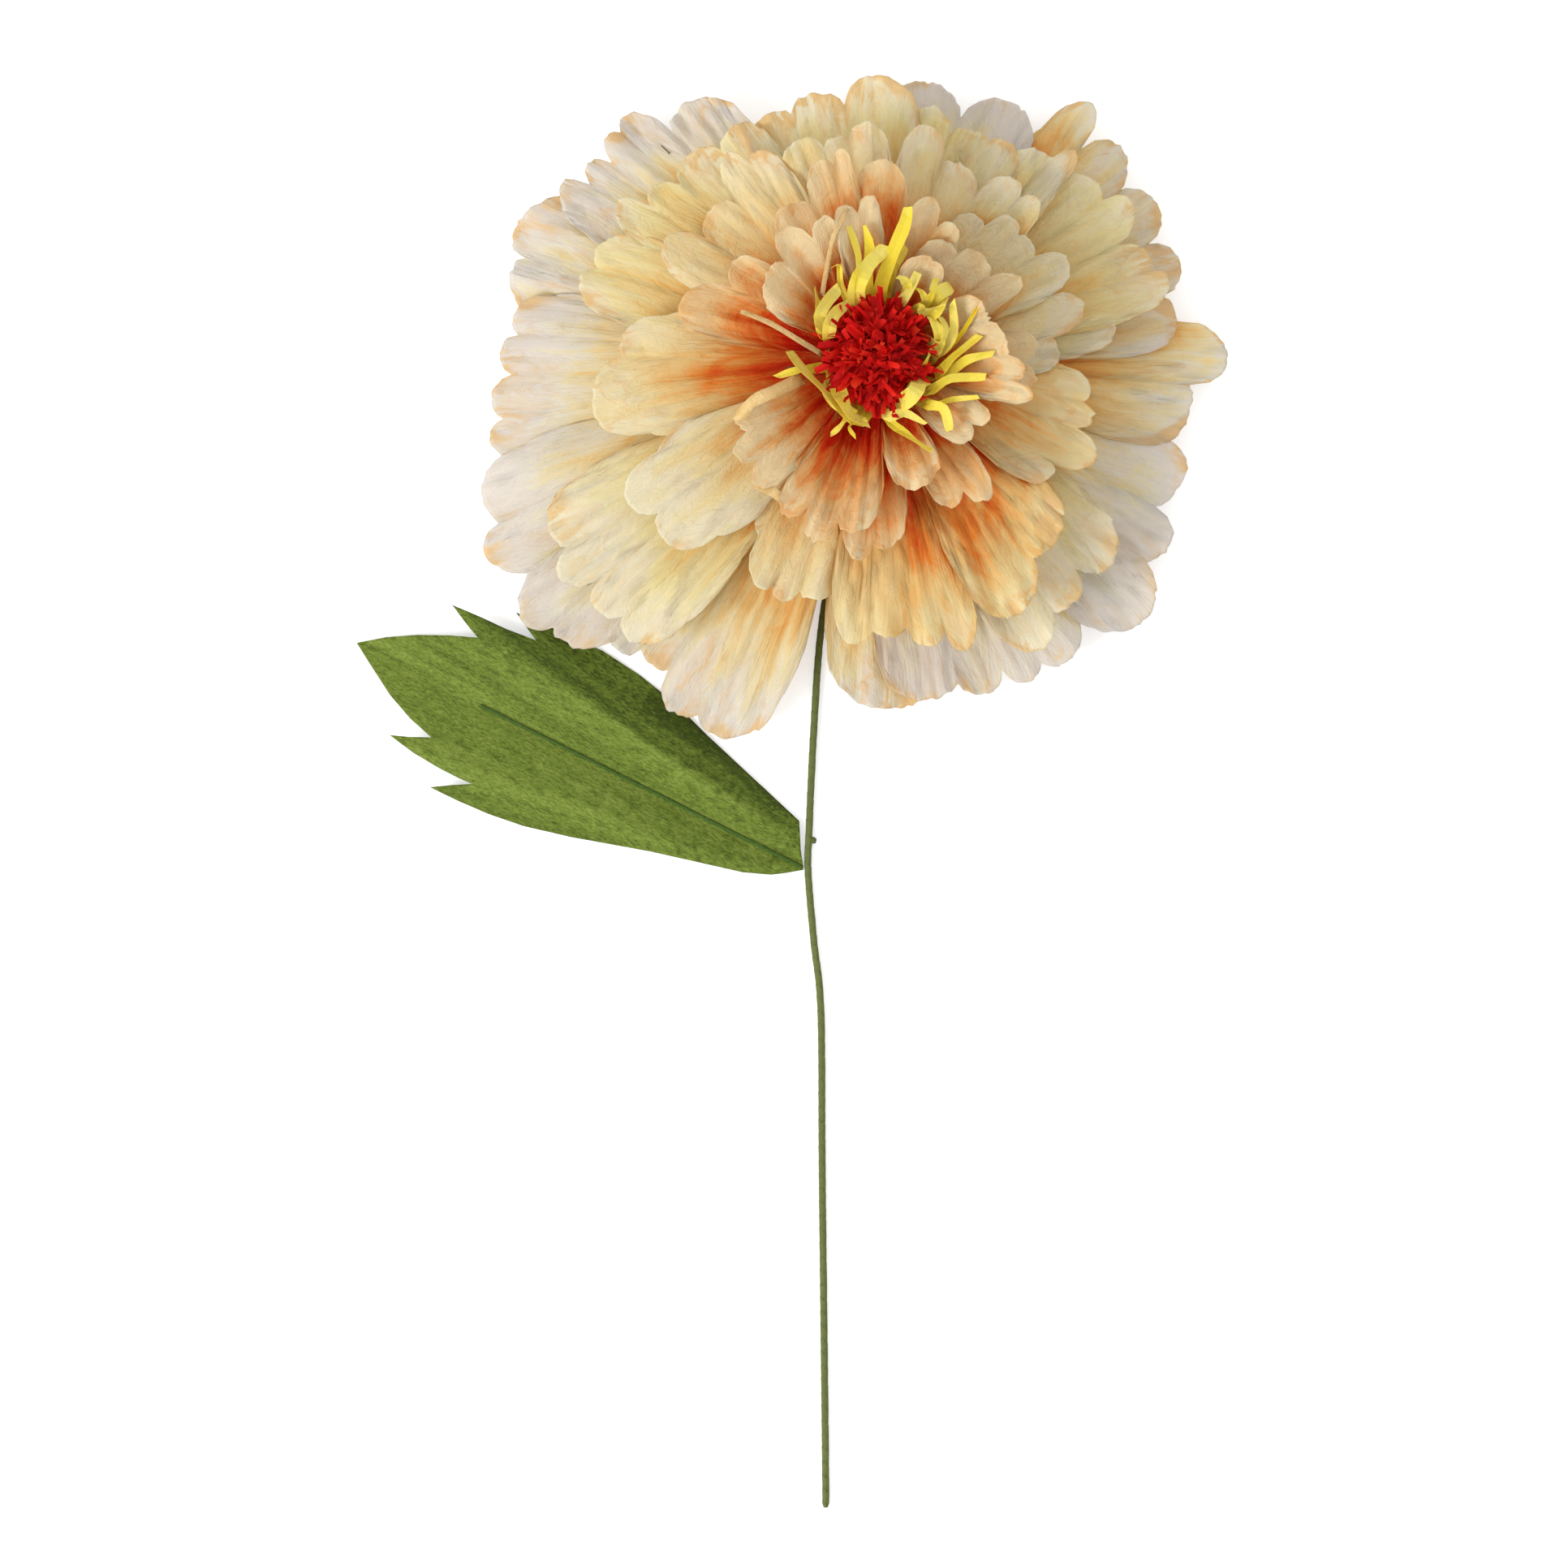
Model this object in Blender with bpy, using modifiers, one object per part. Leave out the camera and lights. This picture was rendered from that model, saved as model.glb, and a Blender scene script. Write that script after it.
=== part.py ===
"""A handmade paper flower: a layered head of dyed crepe petals on a taped wire stem with one leaf.

The flower lies on its back. The head faces up, the stem runs towards -Y and the lowest points touch z = 0.
Lengths are in metres. Azimuths are in degrees about the head's axis, from +X towards +Y.
"""

import math
from dataclasses import dataclass

import bmesh
import bpy
import numpy as np
from mathutils import Vector

# Paper and clearances
SHEET = 0.0005
GAP = 0.0003
LAYER_GAP = 0.0012

# Stem: a straightened wire wrapped in crepe tape
WIRE_RADIUS = 0.0015
TAPE_WALL = 0.00045
TAPE_RADIUS = WIRE_RADIUS + GAP + TAPE_WALL
STEM_SIDES = 2  # bevel resolution, which makes 8 sides
TAPE_TUCK = 0.010  # how far the tape runs up inside the binding

# Binding: the wound bundle that holds the petals' ends on the wire
BINDING_RADIUS = 0.012
BINDING_BOTTOM = 0.034
BINDING_CHAMFER = 0.002
BINDING_RIM = 0.003  # bundle left above the highest petal end
BINDING_ROOF = 0.004  # bundle left above the wire's end
BINDING_STEPS = 20

# Petals
ROOT_GAP = 0.0008  # between the binding and a petal's end
COLUMN_ANGLE = 6.0  # widest step between a petal's columns, in degrees
PETAL_ROWS = 4
PETAL_WIRE_RADIUS = 0.0004
WIRE_SHARE = 0.92  # of the petal's length

# Stamens: one strip cut into fingers, wound round the top of the binding
STAMENS = 28
COLLAR_WIDTH = 0.006
STAMEN_REACH = 0.070
STAMEN_UPPER_REACH = 0.014  # how much further the fingers at the top of the head reach
STAMEN_WAVE = 0.005
STAMEN_TIP_SHARE = 0.6  # of the width at the finger's foot
STAMEN_STEPS = 3
STAMEN_RISE = 0.024
STAMEN_GAP = 0.0025  # between the stamens and the petals under them
UPPER_SIDE = 80.0  # azimuth of the top of the head as it is seen

# Red centre: a domed brush of finely cut paper
CENTRE_RADIUS = 0.035
CENTRE_CROWN = 0.022
CENTRE_DEPTH = 0.030
CENTRE_TAPER = 0.72
TUFT_HEIGHT = 0.0035
TUFT_FACING = -0.1

# Leaf
LEAF_PLEAT = 0.011
LEAF_RIDGE_START = 0.010
LEAF_RIDGE_SPREAD = 0.13
LEAF_TAPER = 0.060
LEAF_CROSS_STEP = 0.045
LEAF_WIRE_RADIUS = 0.0009
LEAF_WIRE_SHARE = 0.86

# The record of what lies highest, used to lay one sheet on another
PILE_ANGLE = 1.0  # in degrees
PILE_STEP = 0.003
PILE_REACH = 0.360
PILE_SPILL = 0.7  # how far past its edges a sheet counts, in steps
LAY_TURNS = 5
SLIVER = 1e-9  # twice the area of the least triangle that is looked at
STEEPEST = 0.4  # least upward part of a sheet's normal that its thickness is worked out for

# Stem's centre line on the table, from the cut end to where it goes behind the head
STEM_ON_TABLE = (
    (-0.0310, -0.7115),
    (-0.0310, -0.7000),
    (-0.0315, -0.6525),
    (-0.0332, -0.5025),
    (-0.0340, -0.4025),
    (-0.0385, -0.3575),
    (-0.0420, -0.3150),
    (-0.0415, -0.2925),
    (-0.0385, -0.2275),
    (-0.0340, -0.1650),
)
# Rise of the hidden stretch, as x, y and height of the stem's underside
STEM_RISING = (
    (-0.0250, -0.1100, 0.0010),
    (-0.0150, -0.0620, 0.0060),
    (-0.0050, -0.0230, 0.0170),
)

LEAF_JOINT_Y = -0.3130
LEAF_APEX = (-0.3235, -0.1725)
# Leaf's margin from the apex along its upper side to the stem, then back along its lower side
LEAF_MARGIN = (
    LEAF_APEX,
    (-0.3050, -0.1690),
    (-0.2650, -0.1680),
    (-0.2475, -0.1695),
    (-0.2635, -0.1490),
    (-0.2300, -0.1640),
    (-0.2115, -0.1710),
    (-0.2240, -0.1535),
    (-0.1700, -0.1775),
    (-0.1250, -0.2100),
    (-0.1050, -0.2300),
    (-0.0475, -0.2835),
    (-0.0465, -0.3025),
)
LEAF_LOWER_MARGIN = (
    (-0.0650, -0.3170),
    (-0.0825, -0.3155),
    (-0.1400, -0.3025),
    (-0.1900, -0.2935),
    (-0.2200, -0.2865),
    (-0.2415, -0.2790),
    (-0.2775, -0.2625),
    (-0.2510, -0.2605),
    (-0.2700, -0.2515),
    (-0.3025, -0.2300),
    (-0.2765, -0.2315),
    (-0.3025, -0.2050),
)


@dataclass(frozen=True)
class Ring:
    """How the petals of one ring stand: heights at even steps from the binding to the tip."""

    heights: tuple
    cup: float  # rise of the petal's sides above its middle, at the tip
    sway: float  # how much neighbouring tips differ in height
    colour: tuple


@dataclass(frozen=True)
class Petal:
    """A petal's margin as azimuth and reach: side, lobe, notch, lobe and so on to the other side."""

    name: str
    ring: str
    margin: tuple
    wire: float = None  # azimuth of a wire that shows on its face


RINGS = {
    "outer": Ring((0.042, 0.045, 0.036, 0.018, 0.0), 0.006, 0.0, (0.86, 0.80, 0.68)),
    "back": Ring((0.049, 0.056, 0.054, 0.044, 0.030), 0.006, 0.004, (0.85, 0.66, 0.48)),
    "middle": Ring((0.056, 0.066, 0.070, 0.066, 0.058), 0.007, 0.004, (0.83, 0.50, 0.30)),
    "front": Ring((0.063, 0.077, 0.088, 0.095, 0.097), 0.008, 0.003, (0.82, 0.34, 0.15)),
    "inner": Ring((0.070, 0.085, 0.101, 0.114, 0.122), 0.009, 0.003, (0.78, 0.20, 0.08)),
}

PETALS = (
    Petal("petal_outer_1", "outer", ((150, 0.205), (160, 0.240), (163, 0.229), (166, 0.234), (173, 0.205))),
    Petal(
        "petal_outer_2",
        "outer",
        (
            (168, 0.205),
            (173, 0.228),
            (175.2, 0.222),
            (177.5, 0.234),
            (181.5, 0.226),
            (185.6, 0.240),
            (188.3, 0.234),
            (191, 0.244),
            (196, 0.215),
        ),
    ),
    Petal("petal_outer_3", "outer", ((193, 0.225), (198.5, 0.258), (203, 0.254), (206, 0.271), (212, 0.235))),
    Petal("petal_outer_4", "outer", ((210, 0.232), (216.6, 0.272), (219, 0.258), (221, 0.260), (227, 0.225))),
    Petal(
        "petal_outer_5",
        "outer",
        (
            (223, 0.215),
            (228, 0.240),
            (230.2, 0.229),
            (233.5, 0.233),
            (236, 0.228),
            (239, 0.251),
            (243, 0.244),
            (247, 0.251),
            (254, 0.215),
        ),
    ),
    Petal("petal_outer_6", "outer", ((260, 0.175), (272, 0.214), (283, 0.190))),
    Petal(
        "petal_outer_7",
        "outer",
        (
            (271, 0.190),
            (279.5, 0.211),
            (284.5, 0.204),
            (289, 0.216),
            (292.5, 0.205),
            (296, 0.219),
            (299, 0.211),
            (302.5, 0.220),
            (309, 0.195),
        ),
    ),
    Petal("petal_outer_8", "outer", ((307, 0.185), (317, 0.231), (325, 0.190))),
    Petal("petal_outer_9", "outer", ((320, 0.185), (328.5, 0.215), (333, 0.195), (341, 0.204), (346, 0.180))),
    Petal(
        "petal_outer_10",
        "outer",
        ((344, 0.180), (353, 0.198), (356.5, 0.196), (361, 0.220), (368, 0.190)),
    ),
    Petal(
        "petal_outer_11",
        "outer",
        ((3, 0.175), (9, 0.189), (13.5, 0.183), (19, 0.200), (24, 0.185), (30, 0.202), (36, 0.180)),
    ),
    Petal("petal_outer_12", "outer", ((35, 0.180), (42, 0.204), (46.5, 0.186), (50.3, 0.211), (55, 0.178))),
    Petal("petal_outer_13", "outer", ((54, 0.160), (62, 0.184), (71, 0.162), (79.5, 0.179), (88, 0.160))),
    Petal(
        "petal_outer_14",
        "outer",
        (
            (118, 0.175),
            (127, 0.201),
            (131, 0.192),
            (135.5, 0.220),
            (137.8, 0.214),
            (140, 0.220),
            (142.5, 0.205),
            (145, 0.218),
            (147.8, 0.210),
            (150, 0.225),
            (156, 0.195),
        ),
    ),
    Petal("petal_back_1", "back", ((2, 0.128), (8, 0.149), (11, 0.140), (13.7, 0.142), (19, 0.128))),
    Petal(
        "petal_back_2",
        "back",
        (
            (10, 0.160),
            (16, 0.188),
            (18.5, 0.178),
            (21, 0.182),
            (26, 0.165),
            (32.6, 0.187),
            (35.6, 0.172),
            (38.7, 0.176),
            (47, 0.150),
        ),
    ),
    Petal("petal_back_3", "back", ((43, 0.150), (46.7, 0.180), (48.5, 0.166), (50.5, 0.166), (57, 0.148))),
    Petal(
        "petal_back_4",
        "back",
        ((53, 0.140), (58.6, 0.158), (63, 0.151), (67, 0.155), (72, 0.148), (77.5, 0.162), (83, 0.142)),
    ),
    Petal(
        "petal_back_5",
        "back",
        ((80, 0.150), (90, 0.177), (97, 0.160), (104, 0.171), (109, 0.162), (114, 0.167), (120, 0.148)),
    ),
    Petal(
        "petal_back_6",
        "back",
        (
            (115, 0.150),
            (121, 0.170),
            (126.5, 0.163),
            (132, 0.173),
            (138, 0.162),
            (143, 0.175),
            (145.5, 0.170),
            (148, 0.188),
            (154, 0.160),
        ),
        wire=143,
    ),
    Petal("petal_back_7", "back", ((152, 0.162), (159, 0.187), (161.5, 0.181), (164, 0.191), (171, 0.162))),
    Petal(
        "petal_back_8",
        "back",
        (
            (201, 0.195),
            (208, 0.228),
            (211, 0.222),
            (214, 0.237),
            (218, 0.220),
            (222, 0.231),
            (225, 0.223),
            (228, 0.230),
            (234, 0.198),
        ),
        wire=214,
    ),
    Petal(
        "petal_back_9",
        "back",
        ((293, 0.170), (300, 0.205), (305, 0.188), (310, 0.193), (314, 0.175), (319, 0.192), (327, 0.162)),
    ),
    Petal(
        "petal_middle_1",
        "middle",
        ((168, 0.130), (177, 0.158), (185, 0.153), (191, 0.178), (198, 0.145)),
        wire=185,
    ),
    Petal("petal_middle_2", "middle", ((203, 0.145), (209.6, 0.177), (215, 0.165), (221, 0.172), (228, 0.145))),
    Petal(
        "petal_middle_3",
        "middle",
        ((236, 0.130), (243, 0.158), (245.5, 0.153), (248, 0.160), (251.5, 0.150), (255, 0.153), (262, 0.128)),
    ),
    Petal(
        "petal_middle_4",
        "middle",
        (
            (258, 0.145),
            (265, 0.176),
            (269, 0.166),
            (272.5, 0.171),
            (276.5, 0.165),
            (281, 0.180),
            (284, 0.172),
            (287, 0.187),
            (292, 0.150),
        ),
    ),
    Petal("petal_middle_5", "middle", ((291, 0.145), (298, 0.179), (308, 0.155), (317, 0.158), (323, 0.135))),
    Petal(
        "petal_middle_6",
        "middle",
        (
            (320, 0.115),
            (325, 0.129),
            (329.5, 0.126),
            (336, 0.148),
            (341, 0.130),
            (345, 0.138),
            (348.5, 0.130),
            (352, 0.132),
            (358, 0.115),
        ),
    ),
    Petal(
        "petal_middle_7",
        "middle",
        ((355, 0.100), (361.3, 0.112), (367, 0.108), (375, 0.131), (381, 0.108)),
    ),
    Petal(
        "petal_middle_8",
        "middle",
        (
            (40, 0.120),
            (45, 0.139),
            (48.5, 0.133),
            (52, 0.139),
            (59, 0.120),
            (66, 0.130),
            (72, 0.127),
            (77.5, 0.147),
            (84, 0.122),
        ),
    ),
    Petal(
        "petal_middle_9",
        "middle",
        (
            (20, 0.112),
            (27.5, 0.132),
            (33, 0.116),
            (38, 0.119),
            (41.5, 0.115),
            (45, 0.120),
            (51, 0.104),
            (58, 0.108),
            (62, 0.092),
        ),
    ),
    Petal(
        "petal_middle_10",
        "middle",
        (
            (86, 0.122),
            (93, 0.146),
            (97.2, 0.136),
            (101.5, 0.138),
            (104, 0.134),
            (109, 0.143),
            (118, 0.122),
        ),
    ),
    Petal(
        "petal_middle_11",
        "middle",
        (
            (115, 0.128),
            (120.5, 0.148),
            (123, 0.143),
            (126, 0.157),
            (132, 0.130),
            (138, 0.138),
            (144.5, 0.128),
            (151, 0.150),
            (159, 0.122),
        ),
    ),
    Petal("petal_front_1", "front", ((141, 0.092), (147, 0.105), (155, 0.098), (166, 0.125), (174, 0.100))),
    Petal(
        "petal_front_2",
        "front",
        ((97, 0.105), (100, 0.128), (103, 0.118), (106, 0.124), (114, 0.100), (123, 0.107), (130, 0.092)),
    ),
    Petal("petal_front_3", "front", ((80, 0.100), (89, 0.120), (97, 0.102))),
    Petal("petal_front_4", "front", ((54, 0.080), (60, 0.092), (65.5, 0.086), (71, 0.102), (78, 0.084))),
    Petal(
        "petal_front_5",
        "front",
        ((22, 0.080), (27, 0.099), (35, 0.082), (43, 0.089), (52, 0.078), (62, 0.082), (68, 0.070)),
    ),
    Petal("petal_front_6", "front", ((345, 0.082), (351, 0.097), (357.5, 0.088), (364.4, 0.097), (371, 0.080))),
    Petal("petal_front_7", "front", ((290, 0.085), (297, 0.103), (302, 0.098), (307, 0.111), (314, 0.090))),
    Petal("petal_front_8", "front", ((258, 0.100), (265, 0.126), (268.5, 0.114), (272, 0.118), (280, 0.098))),
    Petal("petal_inner_1", "inner", ((47, 0.055), (60, 0.067), (75, 0.055))),
    Petal(
        "petal_inner_2",
        "inner",
        ((107, 0.072), (112, 0.089), (120, 0.080), (129, 0.095), (136, 0.080), (143, 0.084), (160, 0.066)),
    ),
    Petal("petal_inner_3", "inner", ((88, 0.076), (93, 0.096), (98.5, 0.086), (104, 0.092), (111, 0.074))),
    Petal(
        "petal_inner_4",
        "inner",
        (
            (338, 0.076),
            (344, 0.098),
            (348.3, 0.084),
            (352.6, 0.090),
            (359, 0.078),
            (368.5, 0.081),
            (376, 0.070),
            (384.5, 0.070),
            (395, 0.058),
        ),
    ),
    Petal("petal_inner_5", "inner", ((308, 0.064), (317, 0.077), (323, 0.071), (329, 0.079), (335, 0.066))),
    Petal("petal_inner_6", "inner", ((275, 0.070), (291, 0.088), (300, 0.072))),
    Petal(
        "petal_inner_7",
        "inner",
        ((199, 0.078), (206, 0.096), (211, 0.092), (216, 0.107), (221.5, 0.098), (227, 0.110), (234, 0.088)),
    ),
    Petal(
        "petal_inner_8",
        "inner",
        ((234, 0.092), (240, 0.113), (245.5, 0.104), (251, 0.121), (256.5, 0.106), (262, 0.110), (271, 0.088)),
    ),
)


def polar(azimuth, radius, height=0.0):
    """A point from its azimuth in degrees, its distance from the head's axis and its height."""
    angle = math.radians(azimuth)
    return Vector((radius * math.cos(angle), radius * math.sin(angle), height))


class Pile:
    """The highest paper so far, over even steps of azimuth and radius about the head's axis."""

    def __init__(self):
        self.top = np.full((round(360 / PILE_ANGLE), round(PILE_REACH / PILE_STEP)), -LAYER_GAP)

    def cells(self, corners):
        """Steps of azimuth and radius on or next to a triangle, its height there and each corner's part."""
        first = math.degrees(math.atan2(corners[0].y, corners[0].x))
        points = []
        for corner in corners:
            turn = math.degrees(math.atan2(corner.y, corner.x)) - first
            azimuth = first + (turn + 180) % 360 - 180
            points.append(np.array((azimuth / PILE_ANGLE, corner.xy.length / PILE_STEP)))
        a, b, c = points
        area = (b[0] - a[0]) * (c[1] - a[1]) - (b[1] - a[1]) * (c[0] - a[0])
        low = np.floor(np.min(points, axis=0)).astype(int) - 1
        high = np.ceil(np.max(points, axis=0)).astype(int) + 1
        i, j = (axis.ravel() for axis in np.mgrid[low[0] : high[0] + 1, low[1] : high[1] + 1])
        weights, near = [], np.ones(len(i), dtype=bool)
        for p, q in ((b, c), (c, a), (a, b)):
            share = ((p[0] - i) * (q[1] - j) - (p[1] - j) * (q[0] - i)) / area
            near &= share >= -PILE_SPILL * np.hypot(*(q - p)) / abs(area)
            weights.append(share)
        rows, columns = self.top.shape
        weights = np.array(weights)[:, near]
        levels = [corner.z for corner in corners]
        heights = np.clip(levels @ weights, min(levels), max(levels))
        return (i[near] % rows, np.clip(j[near], 0, columns - 1)), heights, np.clip(weights, 0, None)

    def triangles(self, sheet):
        """Corners of a sheet's triangles, leaving out slivers."""
        for loops in sheet.calc_loop_triangles():
            a, b, c = corners = [loop.vert.co for loop in loops]
            if abs((b - a).xy.cross((c - a).xy)) > SLIVER:
                yield corners

    def lay(self, sheet, gap=LAYER_GAP):
        """Lift a sheet's points until all of it is clear of the paper under it."""
        for turn in range(LAY_TURNS):
            for corners in self.triangles(sheet):
                cells, heights, weights = self.cells(corners)
                short = self.top[cells] + gap - heights
                worst = int(np.argmax(short))
                lift = max(float(short[worst]), 0.0)
                parts = weights[:, worst] / np.sum(weights[:, worst] ** 2)
                for corner, part in zip(corners, parts):
                    corner.z += lift * (1.0 if turn == LAY_TURNS - 1 else part)

    def cover(self, sheet):
        """Count a sheet that has been laid as the highest paper where it lies."""
        for corners in self.triangles(sheet):
            cells, heights, _ = self.cells(corners)
            facing = abs((corners[1] - corners[0]).cross(corners[2] - corners[0]).normalized().z)
            thickness = SHEET / max(facing, STEEPEST)
            self.top[cells] = np.maximum(self.top[cells], heights + thickness)

    def cover_tube(self, route, radius):
        """Count a round wire as the highest thing where it lies outside the binding."""
        for start, end in zip(route, route[1:]):
            count = max(1, math.ceil((end - start).length / PILE_STEP))
            for step in range(count + 1):
                point = start.lerp(end, step / count)
                distance = point.xy.length
                if not BINDING_RADIUS < distance < PILE_REACH - 2 * PILE_STEP:
                    continue
                aside = math.degrees(radius / distance) / PILE_ANGLE
                turn = math.degrees(math.atan2(point.y, point.x)) / PILE_ANGLE
                rows = np.arange(math.floor(turn - aside), math.ceil(turn + aside) + 1) % len(self.top)
                column = round(distance / PILE_STEP)
                near = np.ix_(rows, (column - 1, column, column + 1))
                self.top[near] = np.maximum(self.top[near], point.z + radius)


def smooth_route(points, steps):
    """Points along a smooth curve through the given points, with the ends straight."""
    route = [points[0]]
    padded = [points[0], *points, points[-1]]
    for before, start, end, after in zip(padded, padded[1:], padded[2:], padded[3:]):
        for step in range(1, steps + 1):
            t = step / steps
            entry, leave = (end - before) / 2, (after - start) / 2
            point = (
                start * (2 * t**3 - 3 * t**2 + 1)
                + entry * (t**3 - 2 * t**2 + t)
                + end * (3 * t**2 - 2 * t**3)
                + leave * (t**3 - t**2)
            )
            route.append(point)
    return route


def paper(name, colour, roughness=0.85):
    """A plain material for the solids."""
    material = bpy.data.materials.new(name)
    material.use_nodes = True
    shader = material.node_tree.nodes["Principled BSDF"]
    shader.inputs["Base Color"].default_value = (*colour, 1.0)
    shader.inputs["Roughness"].default_value = roughness
    return material


def place(name, data, collection, material):
    """A named object of the flower."""
    piece = bpy.data.objects.new(name, data)
    data.materials.append(material)
    collection.objects.link(piece)
    return piece


def place_sheet(name, sheet, collection, material):
    """An object of even thickness from an open sheet that faces up."""
    data = bpy.data.meshes.new(name)
    sheet.to_mesh(data)
    sheet.free()
    data.shade_smooth()
    piece = place(name, data, collection, material)
    wall = piece.modifiers.new("paper", "SOLIDIFY")
    wall.thickness = SHEET
    wall.offset = 1.0
    return piece


def place_wire(name, route, radius, collection, material, caps=True):
    """A round wire along a route."""
    data = bpy.data.curves.new(name, "CURVE")
    data.dimensions = "3D"
    data.bevel_depth = radius
    data.bevel_resolution = STEM_SIDES
    data.use_fill_caps = caps
    spline = data.splines.new("POLY")
    spline.points.add(len(route) - 1)
    for point, target in zip(spline.points, route):
        point.co = (*target, 1.0)
    return place(name, data, collection, material)


def stem_route(top):
    """The stem's centre line from its cut end to a height inside the binding."""
    lying = [Vector((x, y, TAPE_RADIUS)) for x, y in STEM_ON_TABLE]
    rising = [Vector((x, y, z + TAPE_RADIUS)) for x, y, z in STEM_RISING]
    entry = Vector((0.0, 0.0, BINDING_BOTTOM - 2 * TAPE_RADIUS))
    route = [lying[0], *smooth_route([*lying[1:], *rising, entry], 2)]
    for point in route:
        point.z = max(point.z, TAPE_RADIUS)
    return [*route, Vector((0.0, 0.0, top))]


def stem_tape(collection, material):
    """Crepe tape wound round the wire, a thin tube that is open at both ends."""
    piece = place_wire(
        "stem_tape",
        stem_route(BINDING_BOTTOM + TAPE_TUCK),
        TAPE_RADIUS,
        collection,
        material,
        caps=False,
    )
    wall = piece.modifiers.new("tape", "SOLIDIFY")
    wall.thickness = TAPE_WALL
    wall.offset = -1.0
    wall.use_even_offset = True
    return piece


def binding(top, collection, material):
    """The wound bundle that grips the petals' ends, with a blind bore for the stem."""
    bore = TAPE_RADIUS + GAP
    profile = (
        (0.0, top),
        (BINDING_RADIUS - BINDING_CHAMFER, top),
        (BINDING_RADIUS, top - BINDING_CHAMFER),
        (BINDING_RADIUS, BINDING_BOTTOM + BINDING_CHAMFER),
        (BINDING_RADIUS - BINDING_CHAMFER, BINDING_BOTTOM),
        (bore, BINDING_BOTTOM),
        (bore, top - BINDING_ROOF),
        (0.0, top - BINDING_ROOF),
    )
    outline = bmesh.new()
    corners = [outline.verts.new((radius, 0.0, height)) for radius, height in profile]
    for start, end in zip(corners, corners[1:]):
        outline.edges.new((start, end))
    data = bpy.data.meshes.new("petal_binding")
    outline.to_mesh(data)
    outline.free()
    piece = place("petal_binding", data, collection, material)
    turn = piece.modifiers.new("turn", "SCREW")
    turn.steps = BINDING_STEPS
    turn.render_steps = BINDING_STEPS
    turn.use_merge_vertices = True
    turn.merge_threshold = 0.00001
    return piece


def reach_at(petal, azimuth):
    """How far a petal's margin reaches at an azimuth: round lobes that meet in sharp notches."""
    for index, (start, end) in enumerate(zip(petal.margin, petal.margin[1:])):
        if azimuth <= end[0]:
            lobe, side = (end, start) if index % 2 == 0 else (start, end)
            share = (azimuth - lobe[0]) / (side[0] - lobe[0])
            return side[1] + (lobe[1] - side[1]) * math.cos(share * math.pi / 2)
    return petal.margin[-1][1]


def column_azimuths(petal):
    """Azimuths of a petal's columns, with one on every lobe and in every notch."""
    azimuths = [petal.margin[0][0]]
    for (start, _), (end, _) in zip(petal.margin, petal.margin[1:]):
        steps = max(1, math.ceil((end - start) / COLUMN_ANGLE))
        azimuths += [start + (end - start) * step / steps for step in range(1, steps + 1)]
    return azimuths


def height_at(heights, share):
    """Height from a row of evenly spaced heights."""
    position = share * (len(heights) - 1)
    index = min(int(position), len(heights) - 2)
    return heights[index] + (heights[index + 1] - heights[index]) * (position - index)


def petal_sheet(petal, number):
    """The open sheet of one petal, fanned out from the binding, before it is laid on the pile."""
    ring = RINGS[petal.ring]
    azimuths = column_azimuths(petal)
    root = BINDING_RADIUS + ROOT_GAP
    sway = ring.sway * math.sin(2.4 * number)
    sheet = bmesh.new()
    bmesh.ops.create_grid(sheet, x_segments=PETAL_ROWS, y_segments=len(azimuths) - 1, size=1.0)
    for vert in sheet.verts:
        share = (vert.co.x + 1) / 2
        across = (vert.co.y + 1) / 2
        azimuth = azimuths[round(across * (len(azimuths) - 1))]
        radius = root + (reach_at(petal, azimuth) - root) * share
        curl = ring.cup * (2 * across - 1) ** 2 + sway
        vert.co = polar(azimuth, radius, height_at(ring.heights, share) + curl * share)
    return sheet


def lay_petal(petal, number, pile):
    """A petal's sheet laid on the pile, smoothed where the paper under it lifts it."""
    sheet = petal_sheet(petal, number)
    pile.lay(sheet)
    bmesh.ops.smooth_vert(sheet, verts=sheet.verts, factor=0.5, use_axis_z=True)
    pile.lay(sheet)
    pile.cover(sheet)
    return sheet


def wire_route(petal, sheet):
    """Points just above a laid petal's face, along one of its columns."""
    root = BINDING_RADIUS + ROOT_GAP
    lift = SHEET + GAP + PETAL_WIRE_RADIUS
    route = []
    for vert in sheet.verts:
        if abs((math.degrees(math.atan2(vert.co.y, vert.co.x)) - petal.wire + 180) % 360 - 180) < 0.01:
            route.append(vert.co + vert.normal * lift)
    route.sort(key=lambda point: point.xy.length)
    route[0] += polar(petal.wire, root + PETAL_WIRE_RADIUS - route[0].xy.length)
    route[-1] = route[-2].lerp(route[-1], WIRE_SHARE)
    return route


def stamen_reach(azimuth):
    """How far a stamen reaches from the head's axis."""
    upper = math.cos(math.radians(azimuth - UPPER_SIDE))
    wave = math.sin(math.radians(7 * azimuth))
    return STAMEN_REACH + STAMEN_UPPER_REACH * upper + STAMEN_WAVE * wave


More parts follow.
